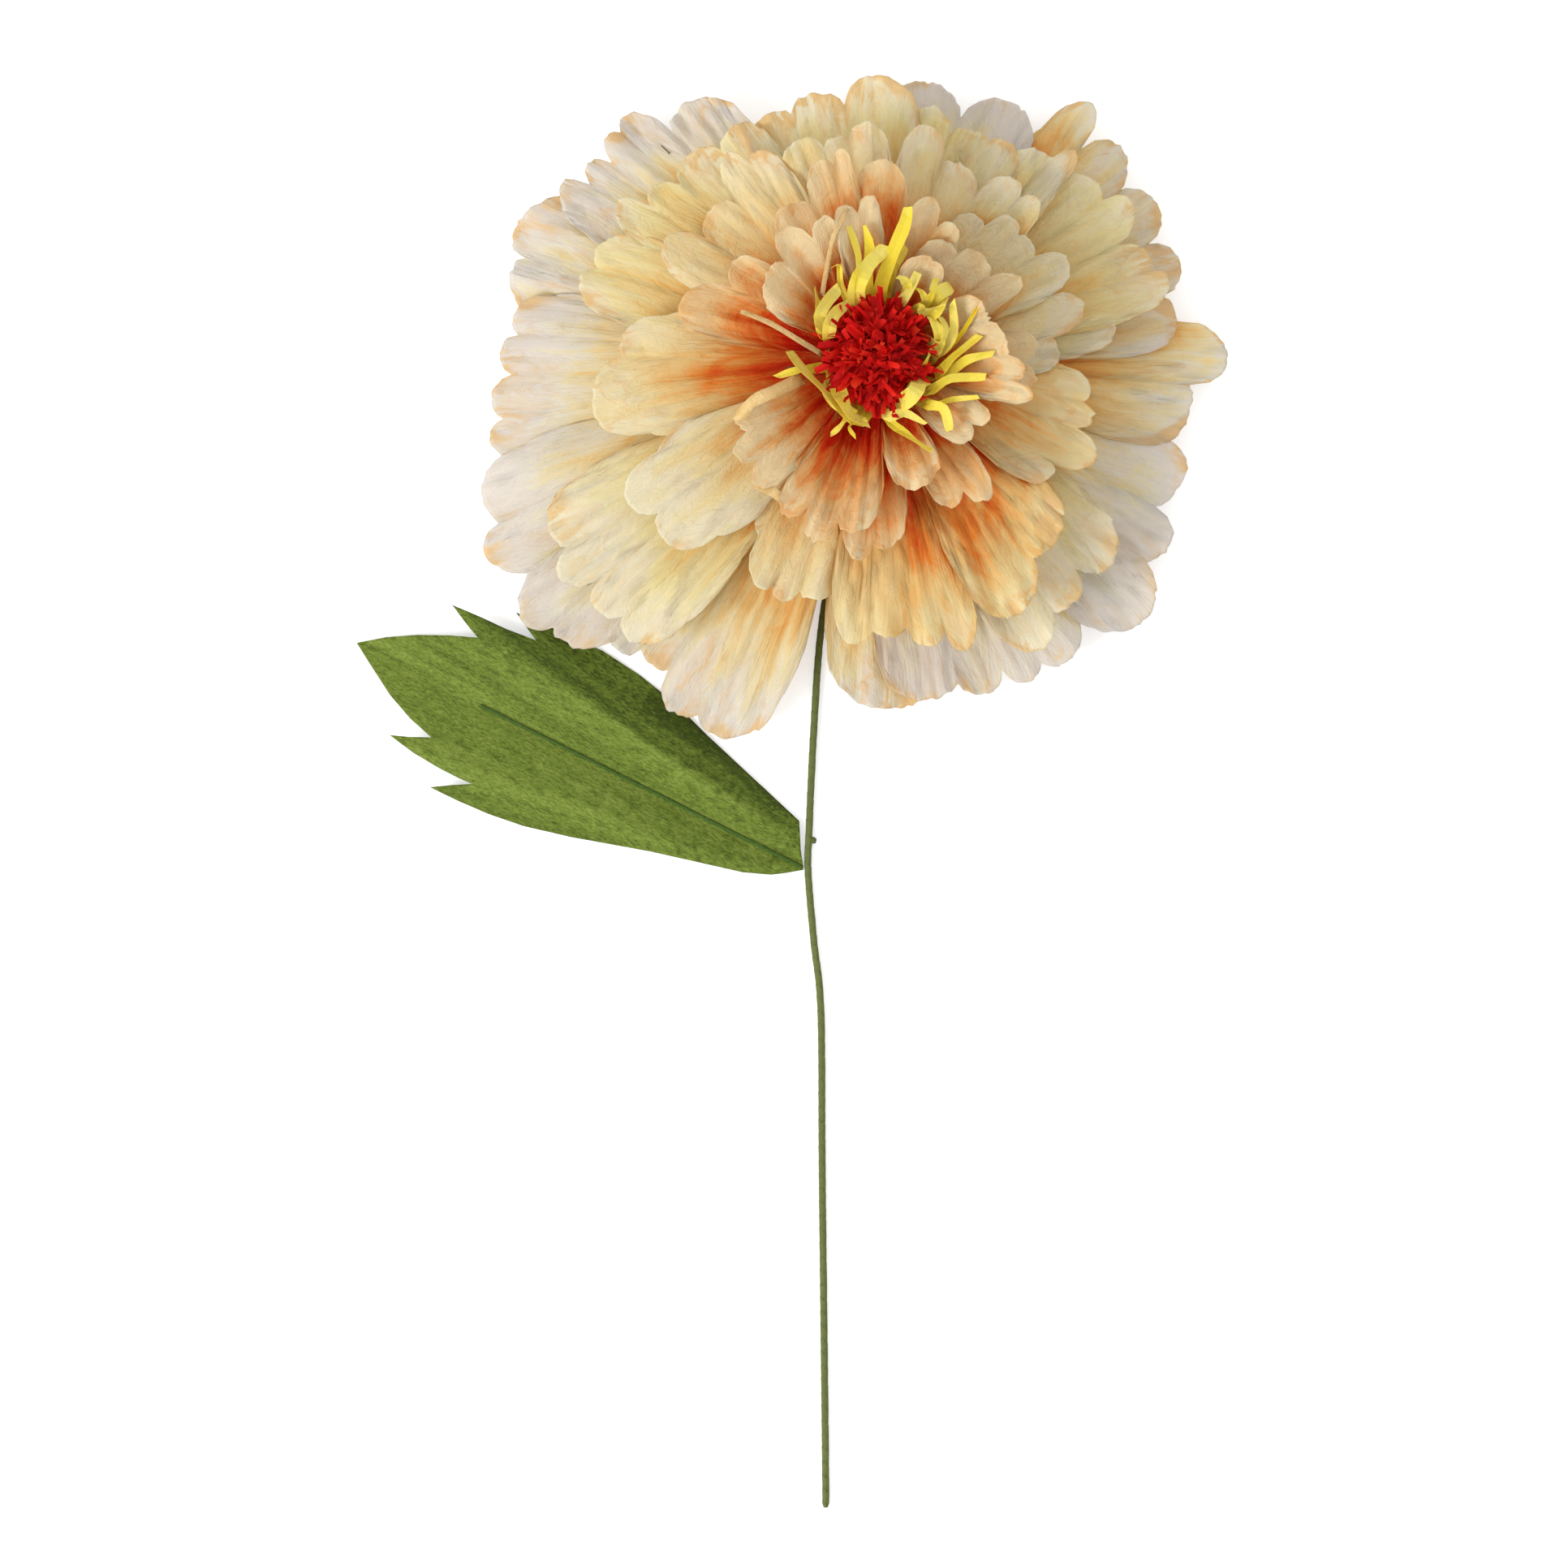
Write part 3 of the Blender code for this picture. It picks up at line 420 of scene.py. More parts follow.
@dataclass(frozen=True)
class Paper:
    """Crepe paper whose dye changes along the sheet.

    Attributes:
        name: The material's name.
        stops: The dye as a place along the sheet and its shade, from the root to the tip.
        stain: Shade of the dye that gathers along margins and folds.
        stain_amount: How strongly it shows.
        glow: Share of the light that comes through the paper.
        streaks: How far fine fibres carry the dye along the sheet.
        bands: How far wide bands of them do.
        blotches: How far soft patches shift it.
        crosswise: Fibres across a sheet 100 mm wide.
        lengthwise: Breaks in them along the sheet.
        bump: Height of the grain.
        bump_strength: How strongly it bends the light.
        most_stain: Share of the stain at which it stops gathering.
        roughness: Roughness between the fibres.
        specular: Strength of the paper's sheen.
    """

    name: str
    stops: tuple[tuple[float, int, int, int], ...]
    stain: Shade
    stain_amount: float = 1.0
    glow: float = 0.42
    streaks: float = 0.28
    bands: float = 0.5
    blotches: float = 0.55
    crosswise: float = 100.0
    lengthwise: float = 3.0
    bump: float = 0.0008
    bump_strength: float = 0.9
    most_stain: float = 0.6
    roughness: float = 0.72
    specular: float = 0.2

    def material(self, grain: bpy.types.ShaderNodeTree) -> bpy.types.Material:
        """Builds the node material.

        Args:
            grain: The shared crepe grain.

        Returns:
            The material.
        """
        made, graph, shader = new_material(self.name)
        sheet = graph.add("ShaderNodeUVMap")
        sheet.uv_map = PAPER_UV
        place = graph.add("ShaderNodeSeparateXYZ", {0: sheet.outputs[0]}).outputs
        crepe = graph.add("ShaderNodeGroup")
        crepe.node_tree = grain
        graph.feed(crepe, {Sockets.CROSSWISE: self.crosswise, Sockets.LENGTHWISE: self.lengthwise})
        graph.feed(crepe, {Sockets.ACROSS: place[0], Sockets.ALONG: place[1]})
        graph.feed(crepe, {Sockets.SEED: graph.attribute(TONE)})
        colour = self.colour(graph, crepe.outputs)
        bump = graph.add("ShaderNodeBump", {"Distance": self.bump, "Strength": self.bump_strength})
        graph.feed(bump, {"Height": crepe.outputs[Sockets.HEIGHT]})
        rough = graph.math("MULTIPLY_ADD", crepe.outputs[Sockets.STREAKS], 0.2, self.roughness)
        graph.feed(shader, {"Base Color": colour, "Roughness": rough, "Normal": bump.outputs[0]})
        graph.feed(shader, {"Specular IOR Level": self.specular})
        if self.glow:
            behind = graph.add("ShaderNodeBsdfTranslucent", {"Color": colour, "Normal": bump.outputs[0]})
            both = {0: self.glow, 1: shader.outputs[0], 2: behind.outputs[0]}
            mix = graph.add("ShaderNodeMixShader", both)
            graph.feed(graph.tree.nodes["Material Output"], {"Surface": mix.outputs[0]})
        return made

    def colour(self, graph: Graph, crepe: bpy.types.NodeOutputs) -> bpy.types.NodeSocket:
        """The dye with its stain.

        Args:
            graph: The material's graph.
            crepe: What the shared grain puts out.

        Returns:
            The colour's socket.
        """
        bands, blotches = crepe[Sockets.BANDS], crepe[Sockets.BLOTCHES]
        spread = graph.math("MULTIPLY_ADD", crepe[Sockets.STREAKS], self.streaks, graph.attribute(DYE))
        spread = graph.math("MULTIPLY_ADD", bands, self.bands, spread)
        spread = graph.math("MULTIPLY_ADD", blotches, self.blotches, spread)
        dye = graph.ramp(self.stops, spread)
        patches = graph.math("MAXIMUM", graph.math("MULTIPLY_ADD", blotches, 5.0, 0.35), 0.0)
        veins = graph.math("MAXIMUM", graph.math("MULTIPLY_ADD", bands, 3.0, 0.1), 0.0)
        veins = graph.math("MULTIPLY_ADD", crepe[Sockets.RIDGES], 0.5, veins)
        gathered = graph.math("MULTIPLY", graph.math("MULTIPLY", veins, patches), graph.attribute(MARGIN))
        gathered = graph.math("MULTIPLY", gathered, self.stain_amount * 4)
        share = graph.add("ShaderNodeClamp", {0: gathered, "Max": self.most_stain}).outputs[0]
        stained = graph.add("ShaderNodeMix")
        stained.data_type = "RGBA"
        graph.feed(stained, {0: share, 6: dye, 7: srgb(*self.stain)})
        return stained.outputs[2]


@dataclass(frozen=True)
class Speckled:
    """A finish with soft patches, for what has no sheet of its own.

    Attributes:
        name: The material's name.
        dark: Shade of the dark patches.
        light: Shade of the light ones.
        scale: Patches in a metre.
        roughness: The surface's roughness.
        detail: Detail of the patches.
        metallic: How metallic it is.
        specular: Strength of its sheen.
        bump: Height of the patches.
    """

    name: str
    dark: Shade
    light: Shade
    scale: float
    roughness: float
    detail: float = 2.0
    metallic: float = 0.0
    specular: float = 0.5
    bump: float = 0.0

    def material(self) -> bpy.types.Material:
        """Builds the node material.

        Returns:
            The material.
        """
        made, graph, shader = new_material(self.name)
        place = graph.add("ShaderNodeTexCoord").outputs["Object"]
        grain = graph.add("ShaderNodeTexNoise", {"Vector": place, "Scale": self.scale, "Detail": self.detail})
        patches = grain.outputs["Fac"]
        shade = graph.ramp(((0.0, *self.dark), (1.0, *self.light)), patches)
        graph.feed(shader, {"Base Color": shade, "Roughness": self.roughness, "Metallic": self.metallic})
        graph.feed(shader, {"Specular IOR Level": self.specular})
        if self.bump:
            bump = graph.add("ShaderNodeBump", {"Distance": self.bump, "Height": patches})
            graph.feed(shader, {"Normal": bump.outputs[0]})
        return made


OCHRE = (238, 198, 112)
PAPERS = {
    Ring.OUTER: Paper(
        "crepe_outer",
        (
            (0.0, 226, 110, 34), (0.5, 238, 173, 85), (0.64, 242, 209, 139),
            (0.78, 242, 228, 185), (0.9, 238, 232, 215), (1.0, 235, 229, 221),
        ),
        OCHRE,
    ),
    Ring.BACK: Paper(
        "crepe_back",
        (
            (0.0, 226, 100, 28), (0.42, 240, 173, 80), (0.6, 243, 214, 139),
            (0.78, 244, 233, 181), (1.0, 244, 238, 215),
        ),
        OCHRE,
    ),
    Ring.MIDDLE: Paper(
        "crepe_middle",
        (
            (0.0, 214, 14, 3), (0.22, 232, 78, 16), (0.42, 241, 155, 62),
            (0.58, 243, 207, 134), (0.78, 244, 230, 179), (1.0, 244, 238, 213),
        ),
        (238, 192, 102),
    ),
    Ring.FRONT: Paper(
        "crepe_front",
        (
            (0.0, 212, 10, 3), (0.32, 226, 48, 8), (0.48, 236, 112, 34),
            (0.63, 241, 168, 88), (0.78, 243, 207, 145), (1.0, 243, 229, 191),
        ),
        (238, 184, 94),
    ),
    Ring.INNER: Paper(
        "crepe_inner",
        (
            (0.0, 208, 8, 3), (0.37, 220, 32, 6), (0.51, 231, 84, 24),
            (0.66, 238, 148, 70), (0.8, 242, 195, 125), (1.0, 243, 226, 185),
        ),
        (238, 180, 90),
    ),
}
FOLD_PAPER = Paper(
    "crepe_fold",
    ((0.0, 232, 128, 48), (0.4, 247, 192, 112), (1.0, 250, 222, 160)),
    OCHRE,
    glow=0.3,
)
STAMEN_PAPER = Paper(
    "crepe_yellow",
    ((0.0, 208, 146, 8), (0.3, 238, 206, 38), (0.6, 246, 226, 74), (1.0, 249, 236, 126)),
    (222, 178, 20),
    stain_amount=0.4,
    glow=0.22,
    bump=0.0003,
)
# Red crepe whose ramp runs from a dark red of painted shade to an orange red of painted highlight.
CENTRE_PAPER = Paper(
    "crepe_red",
    ((0.0, 96, 0, 0), (0.4, 178, 2, 2), (0.75, 206, 12, 4), (1.0, 228, 56, 22)),
    (128, 0, 0),
    stain_amount=0.3,
    glow=0.12,
    bump=0.0002,
)
LEAF_PAPER = Paper(
    "crepe_leaf",
    ((0.0, 58, 72, 16), (0.35, 92, 110, 34), (0.6, 112, 130, 48), (1.0, 140, 154, 72)),
    (76, 92, 24),
    stain_amount=0.7,
    glow=0.08,
    streaks=1.9,
    bands=0.5,
    blotches=0.25,
    crosswise=140.0,
    lengthwise=110.0,
    bump=0.0005,
)
TAPE_PAPER = Paper(
    "stem_tape_paper",
    ((0.0, 64, 72, 34), (0.5, 104, 114, 62), (1.0, 136, 144, 90)),
    (68, 78, 38),
    stain_amount=0.8,
    glow=0.0,
    streaks=0.9,
    bands=0.0,
    blotches=0.3,
    crosswise=30.0,
    lengthwise=160.0,
    bump=0.0002,
)
WIRE = Speckled("annealed_wire", (70, 62, 50), (128, 112, 88), 900.0, 0.55, metallic=0.6)
TAPE = Speckled("tape_on_solids", (48, 70, 26), (84, 112, 48), 420.0, 0.8, 4.0, specular=0.15, bump=0.0002)


# Pieces


def show(name: str, data: bpy.types.ID) -> bpy.types.Object:
    """Puts some data into the scene as a new object.

    Args:
        name: The object's name.
        data: Its mesh, camera or lamp.

    Returns:
        The object.
    """
    made = bpy.data.objects.new(name, data)
    bpy.context.scene.collection.objects.link(made)
    return made


def finish_piece(
    name: str,
    mesh: bmesh.types.BMesh,
    material: bpy.types.Material,
    replaced: str = "",
    thickness: float = 0.0,
    smooth: bool = True,
) -> bpy.types.Object:
    """Turns a finished mesh into a piece of the flower.

    Args:
        name: The piece's name.
        mesh: Its mesh, which is freed.
        material: Its finish.
        replaced: The node that it stands for, or an empty text.
        thickness: The paper's thickness, or nothing for a closed body.
        smooth: Whether it is shaded smoothly, or shows its folds.

    Returns:
        The piece, which rides on the root body.
    """
    data = bpy.data.meshes.new(name)
    mesh.to_mesh(data)
    mesh.free()
    data.materials.append(material)
    if smooth:
        data.shade_smooth()
    piece = show(name, data)
    if thickness:
        wall = piece.modifiers.new("paper", "SOLIDIFY")
        wall.thickness = thickness
        wall.offset = 0.0
    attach(piece, "root")
    if replaced:
        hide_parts(replaced)
    LOG.info("%s: %d faces", name, len(data.polygons))
    return piece


def close_tube(mesh: bmesh.types.BMesh, seam: float) -> None:
    """Joins a rolled grid's two sides and caps its ends.

    Args:
        mesh: The grid.
        seam: Distance at which two points are one.
    """
    bmesh.ops.remove_doubles(mesh, verts=mesh.verts, dist=seam)
    bmesh.ops.holes_fill(mesh, edges=[edge for edge in mesh.edges if edge.is_boundary])


class Sheet:
    """Paper under construction, where each point knows its place on the paper and its dye."""

    def __init__(self) -> None:
        """Starts an empty sheet."""
        self.mesh = bmesh.new()
        self.uv = self.mesh.loops.layers.uv.new(PAPER_UV)
        for name in (DYE, MARGIN, TONE):
            self.mesh.verts.layers.float.new(name)

    def grid(self, rows: int, columns: int) -> list[tuple[bmesh.types.BMVert, int, int]]:
        """Adds a flat grid.

        Args:
            rows: Steps along the paper.
            columns: Steps across it.

        Returns:
            Each new point with its row and column.
        """
        made = bmesh.ops.create_grid(self.mesh, x_segments=rows, y_segments=columns, size=1.0)["verts"]
        return [
            (vert, round((vert.co.x + 1) / 2 * rows), round((vert.co.y + 1) / 2 * columns)) for vert in made
        ]

    def put(
        self,
        vert: bmesh.types.BMVert,
        point: Vector,
        place: tuple[float, float],
        dye: float,
        margin: float = 0.0,
        tone: float = 0.0,
    ) -> None:
        """Puts a point where it belongs.

        Args:
            vert: The point.
            point: Where it goes.
            place: Where it lies on the paper, across and along.
            dye: How far up the dye's colours it is.
            margin: 1 at the paper's margin, 0 well inside.
            tone: A number of the paper's own.
        """
        vert.co = point
        for name, value in ((DYE, dye), (MARGIN, margin), (TONE, tone)):
            vert[self.mesh.verts.layers.float[name]] = value
        for loop in vert.link_loops:
            loop[self.uv].uv = place


@dataclass(frozen=True)
class Character:
    """What sets one petal apart from its ring.

    Attributes:
        dye: Shift of the dye, above zero for paler paper.
        gold: How much golden dye gathers at its margin and in its streaks.
        crinkle: How crumpled it is.
        widen: Degrees by which each side reaches under or over its neighbour.
    """

    dye: float = 0.0
    gold: float = 0.35
    crinkle: float = 1.0
    widen: float = 2.0


# The characters of each ring's petals by their number, as a Character's values.
TRAITS = {
    Ring.OUTER: (
        (0.04, 0.55, 1.5), (0.08, 0.5), (0.10, 0.3), (0.08, 0.3, 1.4),
        (0.0, 0.6, 1.3), (-0.07, 0.9, 1.3), (0.06, 0.35), (0.14, 0.2, 1.5),
        (0.10, 0.3), (-0.05, 0.9, 1.5), (-0.05, 0.7), (-0.08, 0.8),
        (0.13, 0.25), (0.05, 0.6, 1.7),
    ),
    Ring.BACK: (
        (), (-0.06, 0.7), (0.02, 0.6, 1.3), (-0.03, 0.9, 1.6),
        (-0.03, 0.8), (-0.02, 0.8, 1.2), (-0.10, 0.8), (0.07, 0.5, 1.6),
        (0.04, 0.4, 1.3),
    ),
    Ring.MIDDLE: (
        (-0.06, 0.4, 1.0, 4.0), (0.08, 0.2, 1.0, 5.0), (-0.06, 0.7, 1.0, 6.0), (-0.17, 0.8, 1.6),
        (-0.19, 0.9, 1.6), (-0.09, 0.7, 1.3), (0.06, 0.25), (-0.02, 0.3),
        (0.0, 0.3), (-0.04, 0.4), (-0.08, 0.6),
    ),
    Ring.FRONT: (
        (-0.10, 0.3), (-0.05, 0.3), (-0.10, 0.2), (),
        (0.12, 0.25), (0.14, 0.25), (-0.08, 0.8, 1.5), (-0.08, 0.6, 1.3),
    ),
    Ring.INNER: (
        (0.17, 0.1), (0.12, 0.2), (0.14, 0.2), (0.20, 0.5),
        (0.14, 0.5), (0.02, 0.6, 1.3), (0.16, 0.2), (0.02, 0.7, 1.6),
    ),
}


@dataclass(frozen=True)
class Column:
    """One column of a petal's sheet.

    Attributes:
        azimuth: Its azimuth.
        reach: Its length from the axis.
        share: Its place in its lobe, 0 in the middle and 1 or -1 in a notch.
        lobe: The lobe's number.
        notch: Reach of the nearer notch.
    """

    azimuth: float
    reach: float
    share: float
    lobe: int
    notch: float

    @property
    def fullness(self) -> float:
        """1 in the middle of its lobe, 0 in a notch."""
        return max(math.cos(self.share * math.pi / 2), 0.0)


@dataclass
class Petals:
    """Cuts and shapes the fine sheet of every petal.

    Attributes:
        solids: The plain solids.
        materials: The finish of each ring.
        spacing: Distance between a sheet's columns at its tip.
        rows: Steps from the root to the tip.
        crowding: How much closer the rows lie towards the tip.
        root_gap: Distance between the binding and a petal's root.
        probe: Degrees between two looks at a petal's margin.
        halvings: Steps in which its reach is closed in on.
        farthest: Distance from the axis that no petal reaches.
        side_steps: Columns added at each side.
        side_cut: How far the margin draws back over them, as a share.
        level_over: Degrees over which a sheet's height is evened out.
        steady_over: Degrees over which its reach is.
        thickness: The paper's thickness.
        roundness: How round a lobe is, less for fuller.
        jag: How far the margin wanders from its round lobes.
        ruffle: Height of the ruffles at the tip.
        crease: Height of the sharp creases.
        tilt: Rise of a lobe's one side over the other.
        curl: Rise of the margin.
        most_room: Free height at which a petal is shaped freely.
        hem: Width of the stained margin.
        glow: How much deeper the dye is painted where a petal comes out from under another, as painted shade
            under the petal above it.
    """

    solids: Solids
    materials: dict[Ring, bpy.types.Material]
    spacing: float = 0.0026
    rows: int = 33
    crowding: float = 1.25
    root_gap: float = 0.0008
    probe: float = 0.35
    halvings: int = 11
    farthest: float = 0.34
    side_steps: int = 4
    side_cut: float = 0.16
    level_over: float = 9.0
    steady_over: float = 6.0
    thickness: float = 0.0003
    roundness: float = 0.52
    jag: float = 0.0016
    ruffle: float = 0.0017
    crease: float = 0.0030
    tilt: float = 0.0045
    curl: float = 0.0030
    most_room: float = 0.010
    hem: float = 0.006
    glow: float = 0.42

    def span(self, name: str) -> tuple[float, float]:
        """Azimuths of a petal's two sides, the first under the second.

        Args:
            name: The petal's node.

        Returns:
            Both azimuths, in degrees.
        """
        offsets = [vert.co - self.solids.axis for vert in self.solids.nodes[name].data.vertices]
        far = [offset.xy for offset in offsets if offset.xy.length > 3 * self.solids.root]
        middle = sum((offset.normalized() for offset in far), Vector((0.0, 0.0)))
        centre = math.degrees(math.atan2(middle.y, middle.x))
        turns = [math.degrees(math.atan2(offset.y, offset.x)) - centre for offset in far]
        turns = [(turn + 180) % 360 - 180 for turn in turns]
        return centre + min(turns), centre + max(turns)

    def reach(self, name: str, azimuth: float) -> float:
        """How far a petal's solid reaches at an azimuth.

        Args:
            name: The petal's node.
            azimuth: Where to look.

        Returns:
            The distance from the axis.
        """
        inside, outside = self.solids.root * 2, self.farthest
        for _ in range(self.halvings):
            middle = (inside + outside) / 2
            if self.solids.covers(name, self.solids.axis + polar(azimuth, middle)):
                inside = middle
            else:
                outside = middle
        return inside

    def turning_points(self, name: str) -> list[tuple[float, float, bool]]:
        """The lobes and notches of a petal's margin.

        Args:
            name: The petal's node.

        Returns:
            The azimuth and reach of each, and whether it is a lobe, from side to side.
        """
        first, last = self.span(name)
        count = max(8, round((last - first) / self.probe))
        azimuths = [first + (last - first) * (step + 0.5) / count for step in range(count)]
        reaches = [self.reach(name, azimuth) for azimuth in azimuths]
        points = [(first, reaches[0], False)]
        for index in range(1, count - 1):
            before, here, after = reaches[index - 1 : index + 2]
            lobe = here > before and here >= after
            notch = here < before and here <= after
            if (lobe or notch) and lobe != points[-1][2]:
                points.append((azimuths[index], here, lobe))
        if not points[-1][2]:
            points.pop()
        points.append((last, reaches[-1], False))
        if len(points) < 3:
            middle = count // 2
            side = (first, reaches[0], False)
            points = [side, (azimuths[middle], reaches[middle], True), points[-1]]
        return points

    def columns(self, name: str, widen: float) -> list[Column]:
        """The sheet's columns, from side to side.

        Args:
            name: The petal's node.
            widen: Degrees that are added at each side.

        Returns:
            The columns.
        """
        points = self.turning_points(name)
        made = []
        for number, (start, end) in enumerate(zip(points, points[1:])):
            lobe, notch = (end, start) if end[2] else (start, end)
            width = math.radians(end[0] - start[0]) * lobe[1]
            steps = max(3, round(width / self.spacing))
            for step in range(steps if end is not points[-1] else steps + 1):
                azimuth = start[0] + (end[0] - start[0]) * step / steps
                share = (azimuth - lobe[0]) / abs(notch[0] - lobe[0])
                column = Column(azimuth, 0.0, share, number // 2, notch[1])
                reach = notch[1] + (lobe[1] - notch[1]) * column.fullness**self.roundness
                made.append(replace(column, reach=reach))
        first, last = made[0], made[-1]
        for step in range(1, self.side_steps + 1):
            part = step / self.side_steps
            turn, cut = widen * part, 1 - self.side_cut * part**1.5
            made.insert(0, replace(first, azimuth=first.azimuth - turn, reach=first.reach * cut))
            made.append(replace(last, azimuth=last.azimuth + turn, reach=last.reach * cut))
        return made

    def build(self, name: str, ring: Ring, seed: int) -> bpy.types.Object:
        """Cuts one petal.

        Args:
            name: Its node.
            ring: Its ring.
            seed: A number of its own, for its ruffles.

        Returns:
            The fine petal.
        """
        number = int(name.rsplit("_", 1)[1])
        character = Character(*TRAITS[ring][number - 1])
        columns = self.columns(name, character.widen)
        across = np.array([column.azimuth for column in columns])
        reaches = self.margin(columns, seed, character)
        root = self.solids.root + self.root_gap
        shares = 1 - (1 - np.linspace(0.0, 1.0, self.rows + 1)) ** self.crowding
        radius = root + (reaches[:, None] - root) * shares[None, :]
        angle = np.radians(across)[:, None]
        x = self.solids.axis.x + radius * np.cos(angle)
        y = self.solids.axis.y + radius * np.sin(angle)
        base, room = self.lie(name, x, y)
        base = blur(0.1 * base + 0.9 * self.level(across, radius, base), 3)
        freedom = blur(np.clip(room, 0.03, 1.0) ** 1.3, 2)
        near = nearness(across, self.steady_over)
        steady = (near @ reaches) / near.sum(axis=1)
        along = np.clip((radius - root) / (steady[:, None] - root), 0.0, 1.2)
        relief, dye = self.relief(columns, radius, along, shares, seed, character)
        # Painted shade: the dye is made deeper where little room is left over the sheet, under the edge of
        # the petal above.
        dye -= self.glow * (1 - blur(np.clip(room, 0.0, 1.0), 12))
        points = np.stack([x, y, base + freedom * relief], axis=2)
        sheet = self.cut(points, dye, across, reaches, shares, character.gold, seed)
        return finish_piece(f"{name}_paper", sheet.mesh, self.materials[ring], name, self.thickness)

    def margin(self, columns: list[Column], seed: int, character: Character) -> np.ndarray:
        """Each column's reach with the small irregularities of a hand-cut margin.

        Args:
            columns: The sheet's columns.
            seed: The petal's own number.
            character: What sets the petal apart.

        Returns:
            The reach of each column.
        """
        rough = np.array([wobble(column.azimuth * 0.9, seed * 3.1, 0.0) for column in columns])
        fine = np.array([wobble(column.azimuth * 3.8, seed * 5.3, 4.0) for column in columns])
        reaches = np.array([column.reach for column in columns])
        return reaches + self.jag * (rough + 0.7 * fine) * min(character.crinkle, 1.3)

    def lie(self, name: str, x: np.ndarray, y: np.ndarray) -> tuple[np.ndarray, np.ndarray]:
        """How a petal's solid lies.

        Args:
            name: The petal's node.
            x: Place of each point along X.
            y: Place of each point along Y.

        Returns:
            Its height at each point, and the room over it as a share of the most that counts.
        """
        base, room = np.zeros_like(x), np.zeros_like(x)
        for place in np.ndindex(*x.shape):
            base[place] = self.solids.top(name, x[place], y[place])
            above = Vector((x[place], y[place], base[place] + self.thickness))
            room[place] = self.solids.room(above, self.most_room)
        return base, room / self.most_room

    def level(self, across: np.ndarray, radius: np.ndarray, base: np.ndarray) -> np.ndarray:
        """Evens out a sheet's height across its lobes, at each distance from the axis.

        Args:
            across: Azimuth of each column.
            radius: Distance of each point from the axis.
            base: Height of each point.

        Returns:
            The evened height of each point.
        """
        near = nearness(across, self.level_over)
        total, weight = np.zeros_like(base), np.zeros_like(base)
        for k in range(len(across)):
            shares = near[:, k, None] * ((radius <= radius[k, -1]) + 0.02)
            total += shares * np.interp(radius, radius[k], base[k])
            weight += shares
        return total / weight

    def cut(
        self,
        points: np.ndarray,
        dye: np.ndarray,
        across: np.ndarray,
        reaches: np.ndarray,
        shares: np.ndarray,
        gold: float,
        seed: int,
    ) -> Sheet:
        """Makes the sheet through its points.

        Args:
            points: The point of each column and row.
            dye: Its place in the dye's colours.
            across: Azimuth of each column.
            reaches: Reach of each column.
            shares: Place of each row, from root to tip.
            gold: How much golden dye the petal has.
            seed: The petal's own number.

        Returns:
            The sheet.
        """
        sheet = Sheet()
        count = len(across)
        centre = count // 2
        scale = 0.6 * reaches[centre] * 10
        for vert, j, i in sheet.grid(self.rows, count - 1):
            place = (math.radians(across[i] - across[centre]) * scale, float(shares[j]))
            inward = (1 - shares[j]) * reaches[i]
            side = min(i, count - 1 - i) * self.spacing * shares[j]
            margin = math.exp(-((min(inward, side * 2) / self.hem) ** 1.2))
            stain = (margin + 0.25) * gold
            sheet.put(vert, Vector(points[i, j]), place, dye[i, j], stain, (seed * 0.618) % 1.0)
        return sheet

    def relief(
        self,
        columns: list[Column],
        radius: np.ndarray,
        along: np.ndarray,
        shares: np.ndarray,
        seed: int,
        character: Character,
    ) -> tuple[np.ndarray, np.ndarray]:
        """Rise of the paper over its plain form where it lies free, and its dye.

        Args:
            columns: The sheet's columns.
            radius: Distance of each point from the axis.
            along: That distance as a share of the petal's steady reach.
            shares: Place of each row, from root to tip.
            seed: The petal's own number.
            character: What sets the petal apart.

        Returns:
            A rise for each column and row, never below zero, and the place in the dye's colours.
        """
        rise = np.zeros((len(columns), len(shares)))
        dye = np.zeros_like(rise)
        ruffle_height = self.ruffle * 0.5 * character.crinkle
        crease_height = self.crease * character.crinkle
        for i, column in enumerate(columns):
            azimuth, inner = column.azimuth, 0.92 * column.notch
            own = wobble(column.lobe * 1.7, seed * 2.3, 6.0)
            tilt = self.tilt * (0.5 + 0.5 * column.share * math.copysign(1.0, own)) * (0.4 + 1.4 * abs(own))
            lift = 1.0 + 1.8 * wobble(azimuth * 0.12, seed * 0.77, 9.0)
            curl = self.curl * lift * (0.25 + 0.75 * column.fullness)
            for j, share in enumerate(shares):
                distance, outward = radius[i, j] * 100, along[i, j]
                free = min(max((radius[i, j] - inner) / max(column.reach - inner, 0.01), 0.0), 1.0)
                ruffle = wobble(azimuth * 0.16, distance * 0.10, seed * 1.7)
                pleat = wobble(azimuth * 0.38, distance * 0.09, seed * 2.9)
                fine = wobble(azimuth * 1.2, distance * 0.20, seed * 3.7)
                crumple = wobble(azimuth * 0.7, distance * 0.8, seed * 4.1)
                sharp = max(0.0, 1 - 5 * abs(pleat)) ** 2
                valley = max(0.0, 1 - 5 * abs(fine)) ** 2
                rise[i, j] = (
                    self.ruffle * (1 + 2.4 * ruffle) * outward
                    + crease_height * (0.8 * sharp - 0.3 * valley + 0.3) * outward**0.7
                    + ruffle_height * (1 + crumple) * outward
                    + tilt * free
                    + curl * share**10
                )
                dye[i, j] = outward + character.dye + 0.10 * ruffle + 0.06 * own * free
        return np.maximum(rise, 0.0), dye


@dataclass(frozen=True)
class Ribbon:
    """A narrow strip of paper, as it is seen from above.

    Attributes:
        route: Its middle line, in millimetres from the head's axis.
        width: Its width in millimetres.
        lift: How far it arches up, in millimetres.
        twist: How far it turns on itself, in radians.
        lean: How far it is turned at its start, in radians.
        dye: Where its colour starts.
    """

    route: tuple[tuple[float, float], ...]
    width: float = 5.0
    lift: float = 9.0
    twist: float = 0.8
    lean: float = 0.0
    dye: float = 0.35


